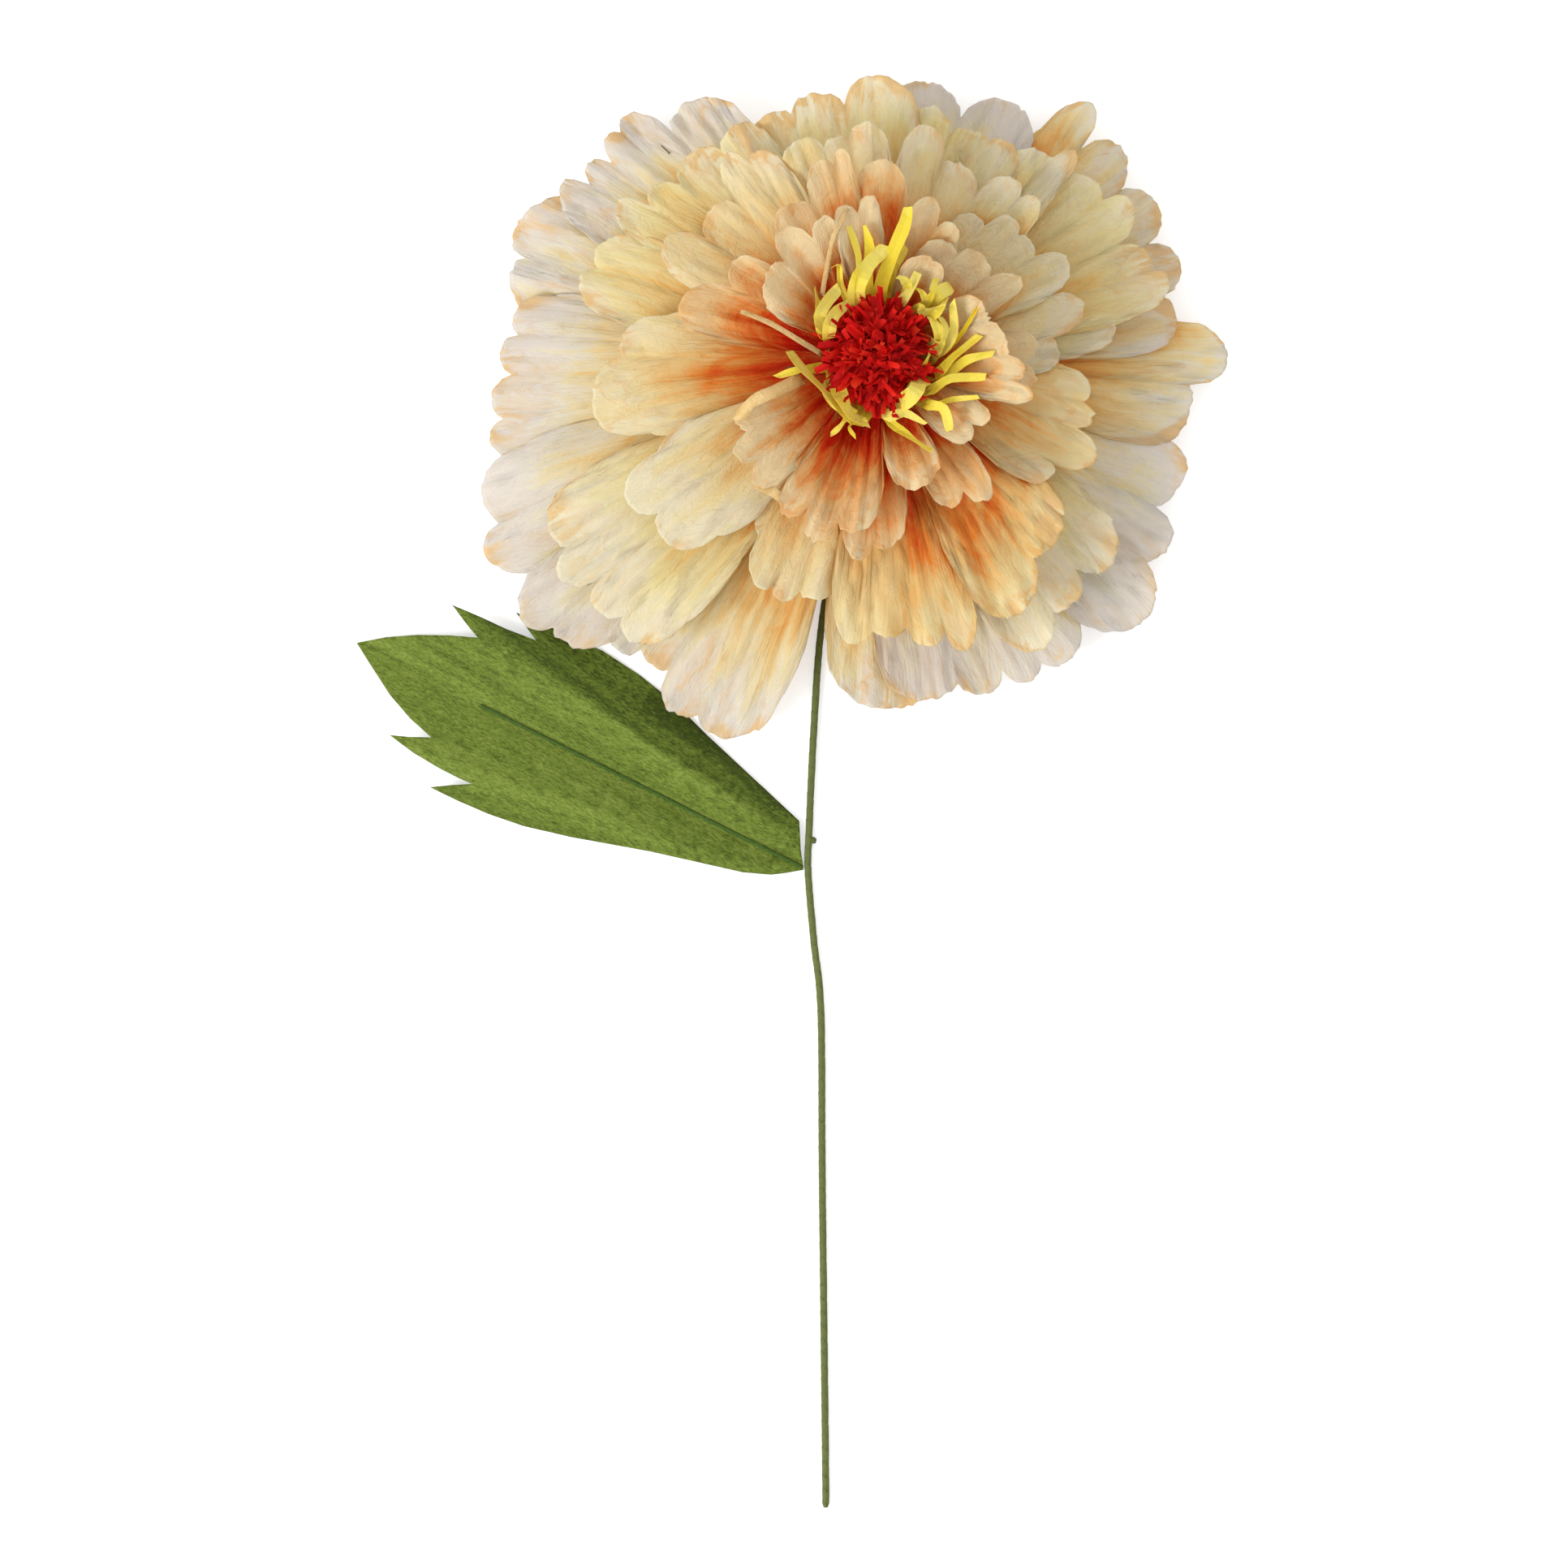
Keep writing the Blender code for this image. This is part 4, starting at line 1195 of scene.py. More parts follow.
STAMENS = (
    Ribbon(((1, 16), (1.2, 38), (7.8, 58.5), (15.8, 77.6), (18, 88.6)), 7.0, 12, -0.5),
    Ribbon(((-8, 16), (-13.5, 36.5), (-6.2, 52.7), (5.6, 65.1)), 8.5, 15, 0.5, -0.4, 0.5),
    Ribbon(((-7, 14), (-12, 35), (-12, 58.5), (-17.9, 76.9)), 5.0, 10, 0.9),
    Ribbon(((-4, 20), (-6.2, 48), (-5.2, 64), (-8.4, 77.3)), 5.0, 8, -0.9),
    Ribbon(((3, 16), (4.8, 33.6), (9.2, 51.2), (16.6, 65.9)), 7.0, 10, 0.7),
    Ribbon(((-20, 8), (-34.5, 18.9), (-31.8, 29.2), (-23.5, 39.8)), 7.0, 22, 0.8, -0.3, 0.55),
    Ribbon(((-24, 4), (-30, 8.7), (-26.7, 22.6), (-16.7, 31.1)), 6.6, 28, -0.6, 0.3, 0.6),
    Ribbon(((-18, 6), (-33.3, 11.6), (-35.5, 26.3), (-38.4, 39.8)), 5.0, 10, 1.2),
    Ribbon(((-14, 22), (-22.3, 41), (-23.8, 52.7), (-28.5, 51.2)), 3.0, 10, 1.6),
    Ribbon(
        ((-4, -14), (-10.6, -39.8), (-31.1, -23.6), (-44.3, -10.4), (-53.8, 2.1)), 8.0, 13, 0.9, 0.2, 0.45
    ),
    Ribbon(((-16, -4), (-42.2, -8.7), (-50.2, -9.7), (-61.9, -13.3)), 5.5, 7, 0.9),
    Ribbon(((-26, -8), (-26.7, -14.8), (-22.3, -26.6), (-16.4, -37.6), (-6.2, -42)), 8.0, 21, -1.0, 0.3, 0.5),
    Ribbon(((-8, -14), (-30.3, -18.8), (-26.3, -29.6), (-14.4, -40.6)), 6.0, 14, 1.4, -0.3, 0.6),
    Ribbon(((-6, -16), (-17.9, -36.8), (-23.8, -44.9), (-28.9, -49.3)), 5.0, 8, 1.1),
    Ribbon(((-4, -16), (-12, -38.3), (-17.6, -44.2), (-13.5, -50.3)), 4.5, 10, 1.3),
    Ribbon(((2, -14), (5.6, -38.3), (17.3, -48.6), (27.6, -56.6), (32.7, -58.8)), 4.5, 8, -0.9),
    Ribbon(((2, -16), (4.8, -37.6), (15.8, -36.1), (28.8, -42.7)), 5.5, 12, 0.7, 0.2, 0.5),
    Ribbon(((8, -28), (14.4, -30), (23.2, -22.2), (24.6, -8.9)), 9.0, 31, -0.5, 0.4, 0.6),
    Ribbon(((10, -10), (29, -22.2), (43.7, -15.5), (65, -14.4)), 5.5, 10, 0.6),
    Ribbon(((12, -6), (32.7, -13.3), (45.2, -2.3), (61.3, 10.9)), 5.5, 11, -0.6),
    Ribbon(((14, -5), (39.3, -11.9), (54, -3.8), (69.8, -0.4)), 5.0, 9, 0.6),
    Ribbon(((10, -12), (29, -30.2), (45.2, -28), (60.6, -26.8)), 3.2, 8, 0.5),
    Ribbon(((10, -13), (27.6, -29.5), (39.3, -33.9), (43, -47.1)), 6.0, 12, 0.8, -0.2, 0.5),
    Ribbon(((24, -4), (32, -3), (37.1, 8.7), (32, 20.4), (26.6, 25.3)), 6.0, 22, 1.1, 0.0, 0.5),
    Ribbon(((16, 0), (34.9, 0), (45.2, 11.6), (44.5, 30.7)), 5.5, 13, -0.9, 0.0, 0.45),
    Ribbon(((14, 12), (30.5, 27.2), (37.8, 36.5), (44.5, 40.9)), 9.0, 15, 0.5, 0.2, 0.6),
    Ribbon(((12, 14), (30.5, 32.1), (32.7, 38), (34.9, 44.6)), 4.5, 14, 0.8),
    Ribbon(((4, 12), (9.2, 26.3), (17.3, 35.1), (23.9, 48.6)), 6.5, 14, -0.7, 0.2, 0.55),
    Ribbon(((8, 20), (17.3, 37.5), (15.3, 43.5), (11.4, 46.1)), 5.0, 14, 1.0, 0.0, 0.5),
    Ribbon(((12, 12), (27.6, 26.3), (26.1, 36.5), (17.3, 41.5)), 3.5, 13, 1.2),
    Ribbon(((14, -1), (36.4, 0), (48, 8.7), (60.6, 28.5)), 2.6, 9, 0.6, 0.0, 0.05),
    Ribbon(((12, 4), (26.1, 8.7), (36.9, 5), (40.8, 14.5), (36.4, 22.6)), 7.5, 17, 1.0, 0.3, 0.6),
    Ribbon(((24, -14), (27, -9), (31.2, -0.1), (32.7, 8.7)), 3.4, 26, 1.2),
    Ribbon(((12, -30), (17.9, -27), (23.7, -19), (29.6, -16.8)), 7.5, 26, 0.9, -0.4, 0.5),
    Ribbon(((10, 14), (28.1, 20.4), (36.4, 24.6), (41.5, 34.6)), 6.0, 16, -1.2, 0.4, 0.4),
    Ribbon(((18, 24), (24.6, 27.4), (28, 24), (40.5, 27.6)), 5.0, 24, 1.3, -0.4, 0.5),
)
FOLDS = (
    Ribbon(((-34, 1.0), (-49, 9.5), (-66, 19), (-83.2, 25.5)), 3.4, 3, 0.1, 0.0, 1.0),
    Ribbon(((-46, -14), (-62, -23), (-76, -30), (-85, -41)), 8.0, 3, 0.2, 0.0, 0.8),
    Ribbon(((-34, 36), (-31, 52), (-27, 70), (-18, 87)), 3.0, 3, 0.2, 0.1, 0.8),
    Ribbon(((-58, -88), (-66, -83), (-75, -80)), 6.0, 2, 0.3, 0.0, 1.0),
)


@dataclass
class Ribbons:
    """Lays ribbons over the flower as one piece.

    Attributes:
        solids: The plain solids.
        guide: The node whose height the ribbons follow.
        fullness: Factor on every width.
        clearance: Height over the solids.
        steps: Steps between two points of a route.
        smoothing: Turns in which the height under a ribbon is evened out.
        taper: Share of its width that a ribbon loses to its tip.
        waver: How much its width wavers.
        crumple: Height of its crumples.
        cup: Rise of its two edges.
        slant: Steepest slant of a cut tip.
        seed: Seed of the small irregularities.
    """

    solids: Solids
    guide: str
    fullness: float = 1.0
    clearance: float = 0.0012
    steps: int = 4
    smoothing: int = 3
    taper: float = 0.35
    waver: float = 0.14
    crumple: float = 0.0006
    cup: float = 0.0009
    slant: float = 0.8
    seed: int = 41

    def build(self, name: str, ribbons: tuple[Ribbon, ...]) -> Sheet:
        """Makes every ribbon.

        Args:
            name: What they are, for the log.
            ribbons: The ribbons.

        Returns:
            Their mesh.
        """
        rng = random.Random(self.seed)
        sheet = Sheet()
        for number, ribbon in enumerate(ribbons):
            self.add(sheet, ribbon, number, rng)
        LOG.info("%s: %d ribbons", name, len(ribbons))
        return sheet

    def floors(self, line: list[Vector]) -> list[float]:
        """Evened height that a ribbon lies on, at each point of its line.

        Args:
            line: The points.

        Returns:
            The heights.
        """
        made = [
            max(self.solids.top(self.guide, x, y), self.solids.pile_top(x, y)) + self.clearance
            for x, y, _ in line
        ]
        last = len(line) - 1
        for _ in range(self.smoothing):
            made = [
                (made[max(step - 1, 0)] + made[step] + made[min(step + 1, last)]) / 3
                for step in range(last + 1)
            ]
        return made

    def add(self, sheet: Sheet, ribbon: Ribbon, number: int, rng: random.Random) -> None:
        """Adds one bent, twisted ribbon with a slanting cut tip.

        Args:
            sheet: The mesh.
            ribbon: The ribbon.
            number: Its number.
            rng: Seeded random numbers.
        """
        flat = [self.solids.axis + Vector((x * MM, y * MM, 0.0)) for x, y in ribbon.route]
        line = smooth_route(flat, self.steps)
        last = len(line) - 1
        floors = self.floors(line)
        slant = rng.uniform(-self.slant, self.slant)
        phase = rng.uniform(0.0, 6.0)
        tone = (number * 0.37) % 1.0
        for vert, j, i in sheet.grid(last, 2):
            along, side = j / last, i - 1
            ahead = (line[min(j + 1, last)] - line[max(j - 1, 0)]).normalized()
            aside = Vector((-ahead.y, ahead.x, 0.0))
            half = ribbon.width * self.fullness * MM / 2 * (1 - self.taper * along**4)
            half *= 1 + self.waver * wobble(along * 5, number, 2.0)
            fold = 1 / (1 + math.exp(-14 * (along - 0.55 - 0.2 * math.sin(phase))))
            roll = ribbon.lean + ribbon.twist * fold + 0.25 * math.sin(along * 8 + phase)
            point = line[j] + aside * (half * side * math.cos(roll))
            if j == last:
                point += ahead * (half * slant * side)
            arch = ribbon.lift * MM * math.sin(min(along * 1.15, 1.0) * math.pi * 0.8) ** 1.3
            point.z = floors[j] + arch + abs(half * math.sin(roll)) + half * side * math.sin(roll)
            point.z += self.crumple * wobble(along * 9, side * 1.5, number) + self.cup * side * side
            dye = ribbon.dye + 0.12 + 0.3 * along + 0.2 * (tone - 0.5)
            sheet.put(vert, point, (side * 0.02 + number * 0.3, along), dye, 0.25 * abs(side), tone)


@dataclass
class Centre:
    """The red brush of finely cut paper.

    Attributes:
        solids: The plain solids.
        material: Red crepe.
        count: Number of cut strips.
        radius: Reach of their tips sideways.
        crown: Reach of their tips upwards.
        width: Width of a strip.
        spread: How far down the sides strips grow, 1 for half a ball.
        core: Width of the core, dyed dark as painted shade between the strips, as a share of the radius.
        core_top: Height of the core over its middle as a share of the crown.
        foot: Where a strip starts, as a share of its reach.
        sway: How far a tip bends aside.
        seed: Seed of the small irregularities.
    """

    solids: Solids
    material: bpy.types.Material
    count: int = 760
    radius: float = 0.0290
    crown: float = 0.0200
    width: float = 0.0074
    spread: float = 1.22
    core: float = 0.82
    core_top: float = 0.72
    foot: float = 0.66
    sway: float = 0.34
    seed: int = 7

    def build(self) -> bpy.types.Object:
        """Makes every strip and the core behind them, dyed dark as painted shade, as one piece.

        Returns:
            The finished brush.
        """
        rng = random.Random(self.seed)
        low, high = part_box("centre_fringe")
        middle = Vector((self.solids.axis.x, self.solids.axis.y, high.z - self.crown))
        sheet = Sheet()
        for number in range(self.count):
            turn = number * GOLDEN_TURN
            lean = math.acos(1 - self.spread * (number + 0.5) / self.count)
            flat = math.sin(lean)
            direction = Vector((flat * math.cos(turn), flat * math.sin(turn), math.cos(lean)))
            self.add_tuft(sheet, middle, direction, rng)
        # The core takes dye from the dark end of the red, as painted shade in the gaps between the strips.
        for vert in bmesh.ops.create_icosphere(sheet.mesh, subdivisions=3, radius=1.0)["verts"]:
            spread = self.radius * self.core * (1 + 0.5 * min(vert.co.z, 0.0))
            rise = self.crown * self.core_top if vert.co.z > 0 else middle.z - low.z
            point = middle + Vector((vert.co.x * spread, vert.co.y * spread, vert.co.z * rise))
            sheet.put(vert, point, (vert.co.x, vert.co.y), 0.15)
        return finish_piece(
            "centre_tufts", sheet.mesh, self.material, "centre_fringe", smooth=False
        )

    def add_tuft(self, sheet: Sheet, middle: Vector, direction: Vector, rng: random.Random) -> None:
        """Adds one cut strip, folded lengthwise, that stands out from the core.

        Args:
            sheet: The brush's mesh.
            middle: Centre of the dome.
            direction: Where the strip points.
            rng: Seeded random numbers.
        """
        sway = Vector((rng.uniform(-1, 1), rng.uniform(-1, 1), rng.uniform(-1, 1)))
        side = direction.cross(sway + Vector((0.3, 0.1, 0.2))).normalized()
        across = direction.cross(side)
        length = rng.uniform(0.88, 1.07) - self.foot
        shade = rng.random()
        half = self.width / 2 * rng.uniform(0.45, 1.1)
        crease = rng.uniform(-0.9, 0.9) * half
        slant = rng.uniform(-0.5, 0.5)
        for vert, j, i in sheet.grid(3, 2):
            along, place = j / 3, i - 1
            share = self.foot + length * along * (1 + 0.12 * slant * place)
            turned = direction + sway * (self.sway * along**2)
            point = Vector((turned.x * self.radius, turned.y * self.radius, turned.z * self.crown)) * share
            point += side * (place * half * (1 - 0.3 * along)) + across * (crease * (1 - abs(place)) * along)
            # Painted shade and highlight: each strip is darker at its root, deep in the brush, and lighter
            # towards its tip, with a random tone of its own.
            dye = 0.2 + 0.75 * along * (0.45 + 0.55 * shade)
            sheet.put(vert, middle + point, (shade * 9 + place * 0.01, along * 0.1), dye, 0.0, shade)


@dataclass
class Stem:
    """The taped stem, wound in a spiral.

    Attributes:
        solids: The plain solids.
        material: Green tape.
        radius: Radius over the tape.
        pitch: Advance of the tape in one turn.
        lap: Radius at the tape's inner edge as a share.
        rise: How much further its outer edge stands out.
        sides: Steps round the stem.
        spacing: Steps along it.
        nub: Place of the knot over the leaf's joint, from the head's axis.
        nub_radius: The knot's radius.
        route: Centre line from the head's axis, as x, y and height over its resting height.
    """

    solids: Solids
    material: bpy.types.Material
    radius: float = 0.00225
    pitch: float = 0.0085
    lap: float = 0.93
    rise: float = 0.09
    sides: int = 14
    spacing: float = 0.0013
    nub: tuple[float, float] = (-0.0388, -0.2955)
    nub_radius: float = 0.0022
    route: tuple[tuple[float, float, float], ...] = (
        (-0.0310, -0.7115, 0.0), (-0.0310, -0.7000, 0.0), (-0.0315, -0.6525, 0.0),
        (-0.0332, -0.5025, 0.0), (-0.0340, -0.4025, 0.0), (-0.0385, -0.3575, 0.0),
        (-0.0420, -0.3150, 0.0), (-0.0415, -0.2925, 0.0), (-0.0385, -0.2275, 0.0),
        (-0.0340, -0.1650, 0.0), (-0.0250, -0.1100, 0.0010), (-0.0150, -0.0620, 0.0060),
        (-0.0050, -0.0230, 0.0170), (0.0, 0.0, 0.0270), (0.0, 0.0, 0.0400),
    )

    def centre_line(self) -> list[Vector]:
        """Evenly spaced points along the stem.

        Returns:
            The points, from the cut end to the head.
        """
        points = [self.solids.axis + Vector((x, y, z + self.radius)) for x, y, z in self.route]
        rough = smooth_route(points, 12)
        even = [rough[0]]
        for start, end in zip(rough, rough[1:]):
            while (end - even[-1]).length > self.spacing and (end - start).length > 1e-6:
                even.append(even[-1] + (end - even[-1]).normalized() * self.spacing)
        for point in even:
            point.z = max(point.z, self.radius)
        return even

    def build(self) -> bpy.types.Object:
        """Winds the tape round the centre line.

        Returns:
            The finished tape.
        """
        line = self.centre_line()
        sheet = Sheet()
        last = len(line) - 1
        for vert, step, part in sheet.grid(last, self.sides):
            turn = part / self.sides
            forward = (line[min(step + 1, last)] - line[max(step - 1, 0)]).normalized()
            side = forward.cross(UP if abs(forward.z) < 0.9 else Vector((0.0, 1.0, 0.0))).normalized()
            top = side.cross(forward)
            wound = (step * self.spacing / self.pitch + turn) % 1.0
            lap = self.lap + self.rise * wound + 0.016 * wobble(step * 0.35, turn * 6, 1.0)
            reach = self.radius * min(lap, 1.02) * min(1.0, 0.45 + step * 0.35)
            angle = -2 * math.pi * turn
            point = line[step] + (side * math.cos(angle) + top * math.sin(angle)) * reach
            point.z = max(point.z, 0.1 * MM)
            seam = max(0.0, 1 - wound / 0.14)
            sheet.put(vert, point, (turn, step * self.spacing * 4), 0.36 + 0.1 * wound, seam, 0.7)
        close_tube(sheet.mesh, 1e-6)
        self.add_nub(sheet)
        bmesh.ops.recalc_face_normals(sheet.mesh, faces=sheet.mesh.faces)
        return finish_piece("stem_winding", sheet.mesh, self.material, "stem_tape")

    def add_nub(self, sheet: Sheet) -> None:
        """Adds the small knot of tape over the leaf's joint.

        Args:
            sheet: The tape's mesh.
        """
        middle = self.solids.axis + Vector((*self.nub, self.radius * 1.2))
        for vert in bmesh.ops.create_icosphere(sheet.mesh, subdivisions=2, radius=self.nub_radius)["verts"]:
            bump = 1 + 0.25 * noise.noise(vert.co * 900)
            sheet.put(vert, middle + vert.co * bump, (vert.co.x * 99, vert.co.y * 99), 0.3)


@dataclass
class Leaf:
    """The pleated leaf.

    Attributes:
        solids: The plain solids.
        material: Green crepe.
        spacing: Distance between two points of the sheet.
        pleat: Height of the pressed pleats.
        thickness: The paper's thickness.
        half_width: Half of the leaf's width, and some room.
        joint: Its foot, from the head's axis.
        apex: Its tip, likewise.
        painted_shadows: Painted shadow on its upper side, as dark zones given by distance from the midrib,
            widening, reach and depth.
        margin: Its outline, from the head's axis.
    """

    solids: Solids
    material: bpy.types.Material
    spacing: float = 0.0026
    pleat: float = 0.0011
    thickness: float = 0.0003
    half_width: float = 0.07
    joint: tuple[float, float] = (-0.0446, -0.3130)
    apex: tuple[float, float] = (-0.3235, -0.1725)
    painted_shadows: tuple[tuple[float, float, float, float], ...] = (
        (0.0166, 0.083, 1.0, 0.26),
        (0.0220, 0.150, 0.135, 0.22),
    )
    margin: tuple[tuple[float, float], ...] = (
        (-0.3235, -0.1725), (-0.3050, -0.1690), (-0.2850, -0.1676), (-0.2650, -0.1680),
        (-0.2475, -0.1695), (-0.2560, -0.1590), (-0.2635, -0.1490), (-0.2450, -0.1570),
        (-0.2300, -0.1640), (-0.2115, -0.1710), (-0.2180, -0.1620), (-0.2240, -0.1535),
        (-0.1960, -0.1655), (-0.1700, -0.1775), (-0.1470, -0.1925), (-0.1250, -0.2100),
        (-0.1050, -0.2300), (-0.0475, -0.2835), (-0.0465, -0.3025), (-0.0449, -0.3120),
        (-0.0450, -0.3140), (-0.0560, -0.3160), (-0.0650, -0.3170), (-0.0825, -0.3155),
        (-0.1400, -0.3025), (-0.1900, -0.2935), (-0.2200, -0.2865), (-0.2415, -0.2790),
        (-0.2600, -0.2710), (-0.2775, -0.2625), (-0.2640, -0.2612), (-0.2510, -0.2605),
        (-0.2600, -0.2565), (-0.2700, -0.2515), (-0.2870, -0.2415), (-0.3025, -0.2300),
        (-0.2900, -0.2312), (-0.2765, -0.2315), (-0.2900, -0.2195), (-0.3025, -0.2050),
        (-0.3130, -0.1890),
    )

    def blank(self, mesh: bmesh.types.BMesh, joint: Vector, along: Vector, across: Vector) -> None:
        """Cuts the flat leaf in small steps.

        Args:
            mesh: The mesh.
            joint: The leaf's foot.
            along: Direction of its midrib.
            across: Direction across it.
        """
        corners = [self.solids.axis + Vector((x, y, 0.0)) for x, y in self.margin]
        outline = mesh.faces.new([mesh.verts.new(corner) for corner in corners])
        bmesh.ops.triangulate(mesh, faces=[outline])
        length = (Vector(self.apex) - Vector(self.joint)).length
        for direction, first, last in ((along, 0.0, length), (across, -self.half_width, self.half_width)):
            for step in range(int((last - first) / self.spacing) + 1):
                bmesh.ops.bisect_plane(
                    mesh,
                    geom=[*mesh.verts, *mesh.edges, *mesh.faces],
                    plane_co=joint + direction * (first + (step + 0.5) * self.spacing),
                    plane_no=direction,
                )

    def build(self) -> bpy.types.Object:
        """Cuts the leaf and presses its pleats.

        Returns:
            The finished leaf.
        """
        joint = self.solids.axis + Vector((*self.joint, 0.0))
        along = (self.solids.axis + Vector((*self.apex, 0.0)) - joint).normalized()
        across = Vector((along.y, -along.x, 0.0))
        length = (Vector(self.apex) - Vector(self.joint)).length
        sheet = Sheet()
        mesh = sheet.mesh
        self.blank(mesh, joint, along, across)
        rim = {vert for edge in mesh.edges if edge.is_boundary for vert in edge.verts}
        for vert in mesh.verts:
            offset = vert.co - joint
            distance, aside = max(offset.dot(along), 0.0), offset.dot(across)
            fan = math.degrees(math.atan2(aside, distance + 0.02))
            press = wobble(fan * 0.33, distance * 3, 2.0)
            sharp = max(0.0, 1 - 6 * abs(wobble(fan * 0.55, distance * 2, 7.0)))
            wrinkle = wobble(distance * 60, aside * 130, 5.0)
            fade = min(1.0, distance / 0.05)
            point = vert.co.copy()
            point.z = self.solids.top("leaf", point.x, point.y)
            point.z += fade * self.pleat * (0.8 * sharp + 0.6 * press + 0.25 * wrinkle)
            point.z = max(point.z, self.thickness)
            # The dye is darker along the sharp pleats, and painted shadow lowers it further in the dark zones
            # on the upper side.
            shade = 0.60 - 0.25 * sharp
            for start, widening, reach, depth in self.painted_shadows:
                shade -= depth * (aside > start + widening * distance and distance < reach)
            place = (aside * 10, distance / length)
            sheet.put(vert, point, place, shade, 0.4 if vert in rim else 0.3 * sharp, 0.2)
        mesh.normal_update()
        if sum(face.normal.z for face in mesh.faces) < 0:
            bmesh.ops.reverse_faces(mesh, faces=mesh.faces)
        return finish_piece("leaf_paper", mesh, self.material, "leaf", self.thickness)


@dataclass
class Wires:
    """Fine wires that lie on petals without a solid of their own.

    Attributes:
        solids: The plain solids.
        material: The wire's finish.
        radius: The wire's radius.
        lift: Height over the solid petals, which clears their ruffles.
        runs: Both ends of each, in millimetres from the head's axis.
    """

    solids: Solids
    material: bpy.types.Material
    radius: float = 0.0004
    lift: float = 0.0042
    runs: tuple[tuple[tuple[float, float], tuple[float, float]], ...] = (
        ((-205, 67.5), (-183, 54)),
        ((-196, -150.5), (-160, -122.5)),
        ((-141.5, 144.5), (-128, 131)),
        ((124, 131.5), (102.5, 102.5)),
    )

    def build(self) -> bpy.types.Object:
        """Lays each wire on the paper under it.

        Returns:
            The wires as one piece.
        """
        mesh = bmesh.new()
        for ends in self.runs:
            first, last = (self.solids.axis + Vector((x * MM, y * MM, 0.0)) for x, y in ends)
            forward = (last - first).normalized()
            aside = Vector((-forward.y, forward.x, 0.0))
            for vert in bmesh.ops.create_grid(mesh, x_segments=12, y_segments=6, size=1.0)["verts"]:
                along, turn = (vert.co.x + 1) / 2, (vert.co.y + 1) * math.pi
                point = first.lerp(last, along)
                point.z = self.solids.pile_top(point.x, point.y) + self.lift
                vert.co = point + (aside * math.cos(turn) + UP * math.sin(turn)) * self.radius
        close_tube(mesh, 1e-7)
        bmesh.ops.recalc_face_normals(mesh, faces=mesh.faces)
        return finish_piece("faint_petal_wires", mesh, self.material)


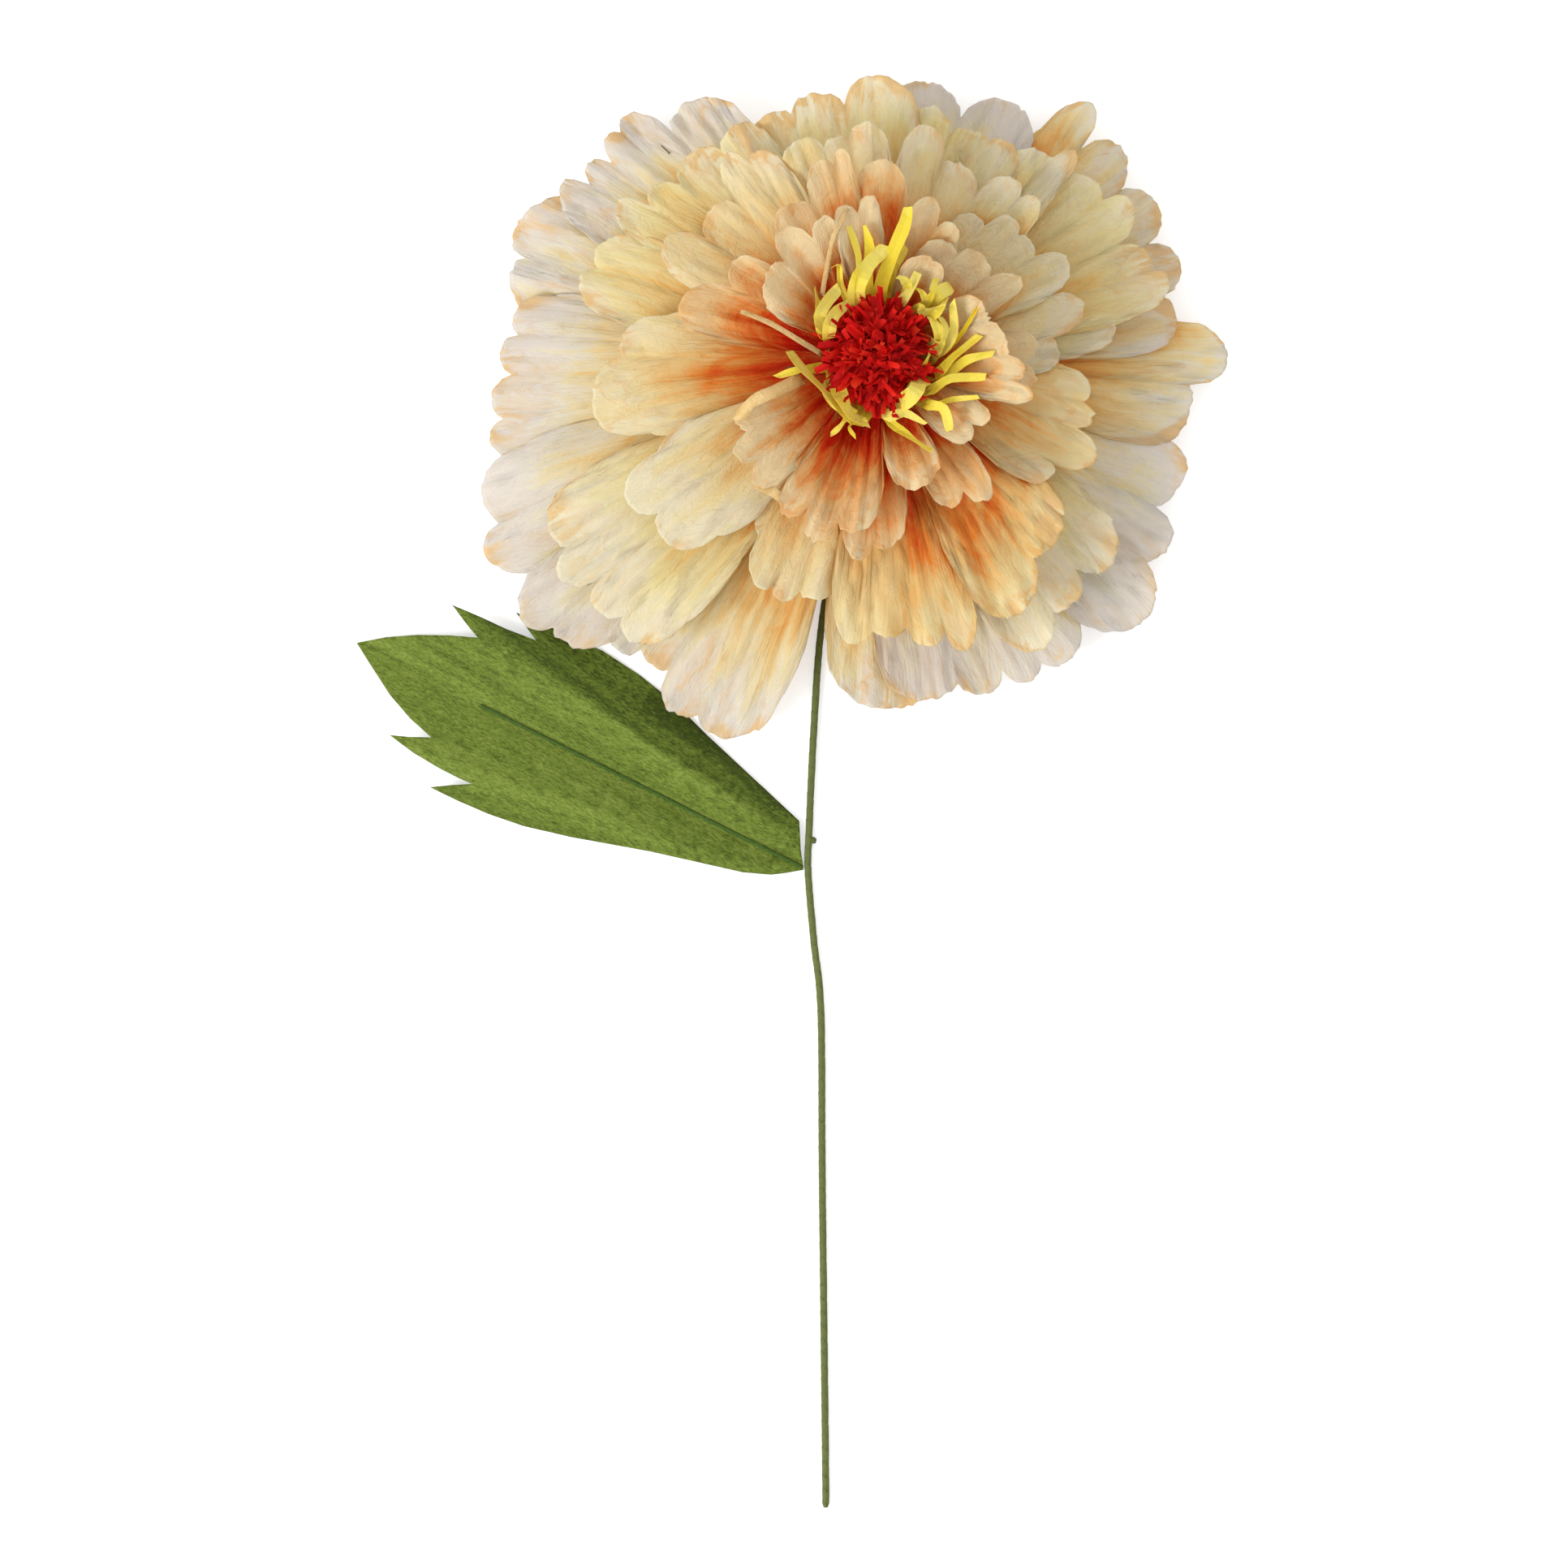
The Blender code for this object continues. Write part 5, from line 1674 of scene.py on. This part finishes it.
@dataclass
class Studio:
    """A white table under soft light, seen from straight above.

    Attributes:
        width: Width of the picture at the flower's height.
        distance: Distance of the camera.
        level: Height that the picture's width is counted at.
        centre: Middle of the picture, from the head's axis.
        sensor: Width of the camera's sensor in millimetres.
        sky: Strength of the light from all around.
        table_size: Half of the table's width.
        table_drop: How far the table lies under the flower.
        table_glow: What makes the table white where it is looked at.
        aim: Where the lamps point.
        lamps: Name, place, size, power and colour of each lamp.
    """

    width: float = 0.966
    distance: float = 4.0
    level: float = 0.050
    centre: tuple[float, float] = (-0.057, -0.2605)
    sensor: float = 36.0
    sky: float = 0.85
    table_size: float = 4.0
    table_drop: float = 0.0004
    table_glow: float = 0.45
    aim: tuple[float, float, float] = (0.0, 0.15, 0.05)
    lamps: tuple[tuple[str, tuple, float, float, tuple], ...] = (
        ("key", (-1.9, -0.7, 1.7), 1.2, 46.0, (1.0, 0.99, 0.97)),
        ("fill", (1.6, 1.9, 2.0), 2.2, 8.0, (1.0, 0.97, 0.93)),
    )

    def hang_camera(self, axis: Vector) -> None:
        """Hangs the camera over the table.

        Args:
            axis: The head's axis.
        """
        data = bpy.data.cameras.new("overhead")
        data.sensor_width = self.sensor
        data.lens = self.sensor * self.distance / self.width
        data.clip_end = 20.0
        camera = show("overhead", data)
        camera.location = axis + Vector((*self.centre, self.distance + self.level))
        bpy.context.scene.camera = camera

    def hang_lamps(self) -> None:
        """Adds the soft square lamps that look at the head."""
        for name, place, size, power, colour in self.lamps:
            data = bpy.data.lights.new(name, "AREA")
            data.size = size
            data.energy = power
            data.color = colour
            lamp = show(name, data)
            lamp.location = place
            lamp.rotation_euler = (Vector(self.aim) - Vector(place)).to_track_quat("-Z", "Y").to_euler()

    def lay_table(self) -> None:
        """Lays the white table, which keeps the flower's shadow."""
        mesh = bmesh.new()
        for vert in bmesh.ops.create_grid(mesh, x_segments=1, y_segments=1, size=self.table_size)["verts"]:
            vert.co.z = -self.table_drop
        data = bpy.data.meshes.new("table")
        mesh.to_mesh(data)
        mesh.free()
        made, graph, shader = new_material("white_table")
        rays = graph.add("ShaderNodeLightPath").outputs
        seen = graph.math("MAXIMUM", rays["Is Camera Ray"], rays["Is Glossy Ray"])
        seen = graph.math("MAXIMUM", seen, rays["Is Transmission Ray"])
        glow = graph.math("MULTIPLY", seen, self.table_glow)
        graph.feed(shader, {"Base Color": (0.8, 0.8, 0.8, 1.0), "Roughness": 0.9})
        graph.feed(shader, {"Emission Color": WHITE, "Emission Strength": glow})
        data.materials.append(made)
        table = show("table", data)

    def build(self, axis: Vector) -> None:
        """Sets up the view and the light.

        Args:
            axis: The head's axis.
        """
        scene = bpy.context.scene
        scene.view_settings.view_transform = "Standard"
        world = bpy.data.worlds.new("studio")
        world.use_nodes = True
        background = world.node_tree.nodes["Background"]
        Graph(world.node_tree).feed(background, {"Color": WHITE, "Strength": self.sky})
        scene.world = world
        self.hang_camera(axis)
        self.lay_table()
        self.hang_lamps()


def dress_kept_nodes(
    nodes: dict[str, bpy.types.Object], finishes: dict[str, bpy.types.Material]
) -> None:
    """Gives the solids that stay their finish.

    Args:
        nodes: Every node of the frame.
        finishes: The finish of each node that stays.
    """
    for name, material in finishes.items():
        mesh = nodes[name].data
        mesh.materials.clear()
        mesh.materials.append(material)
        LOG.info("%s: kept as it is, in %s", name, material.name)


def dress_flower(nodes: dict[str, bpy.types.Object], solids: Solids) -> None:
    """Makes every piece of the flower.

    Args:
        nodes: Every node of the frame.
        solids: Their meshes.
    """
    grain = Grain().group()
    petals = Petals(solids, {ring: paper.material(grain) for ring, paper in PAPERS.items()})
    rings = {ring.value: ring for ring in Ring}
    names = [name for name in nodes if name.startswith("petal_") and name.split("_")[1] in rings]
    for number, name in enumerate(sorted(names)):
        petals.build(name, rings[name.split("_")[1]], number + 1)

    fringe = Ribbons(solids, "stamen_fringe", 1.25).build("stamens", STAMENS)
    yellow = STAMEN_PAPER.material(grain)
    finish_piece(
        "stamen_strips", fringe.mesh, yellow, "stamen_fringe", STRIP_THICKNESS, False
    )
    folds = Ribbons(solids, "petal_inner_7", clearance=0.0035).build("folded margins", FOLDS)
    pale = FOLD_PAPER.material(grain)
    finish_piece("petal_inner_folds", folds.mesh, pale, thickness=STRIP_THICKNESS)
    Centre(solids, CENTRE_PAPER.material(grain)).build()
    Stem(solids, TAPE_PAPER.material(grain)).build()
    Leaf(solids, LEAF_PAPER.material(grain)).build()

    wire, tape = WIRE.material(), TAPE.material()
    Wires(solids, wire).build()
    kept = {name: wire for name in nodes if name.startswith("petal_wire")}
    dress_kept_nodes(nodes, kept | {"stem_wire": wire, "petal_binding": tape, "leaf_wire": tape})


def main() -> None:
    """Dresses the flower and sets up its studio."""
    logging.basicConfig(level=logging.INFO, format="%(name)s: %(message)s")
    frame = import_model()
    solids = Solids(frame["nodes"])
    Studio().build(solids.axis)
    dress_flower(frame["nodes"], solids)


if __name__ == "__main__":
    main()
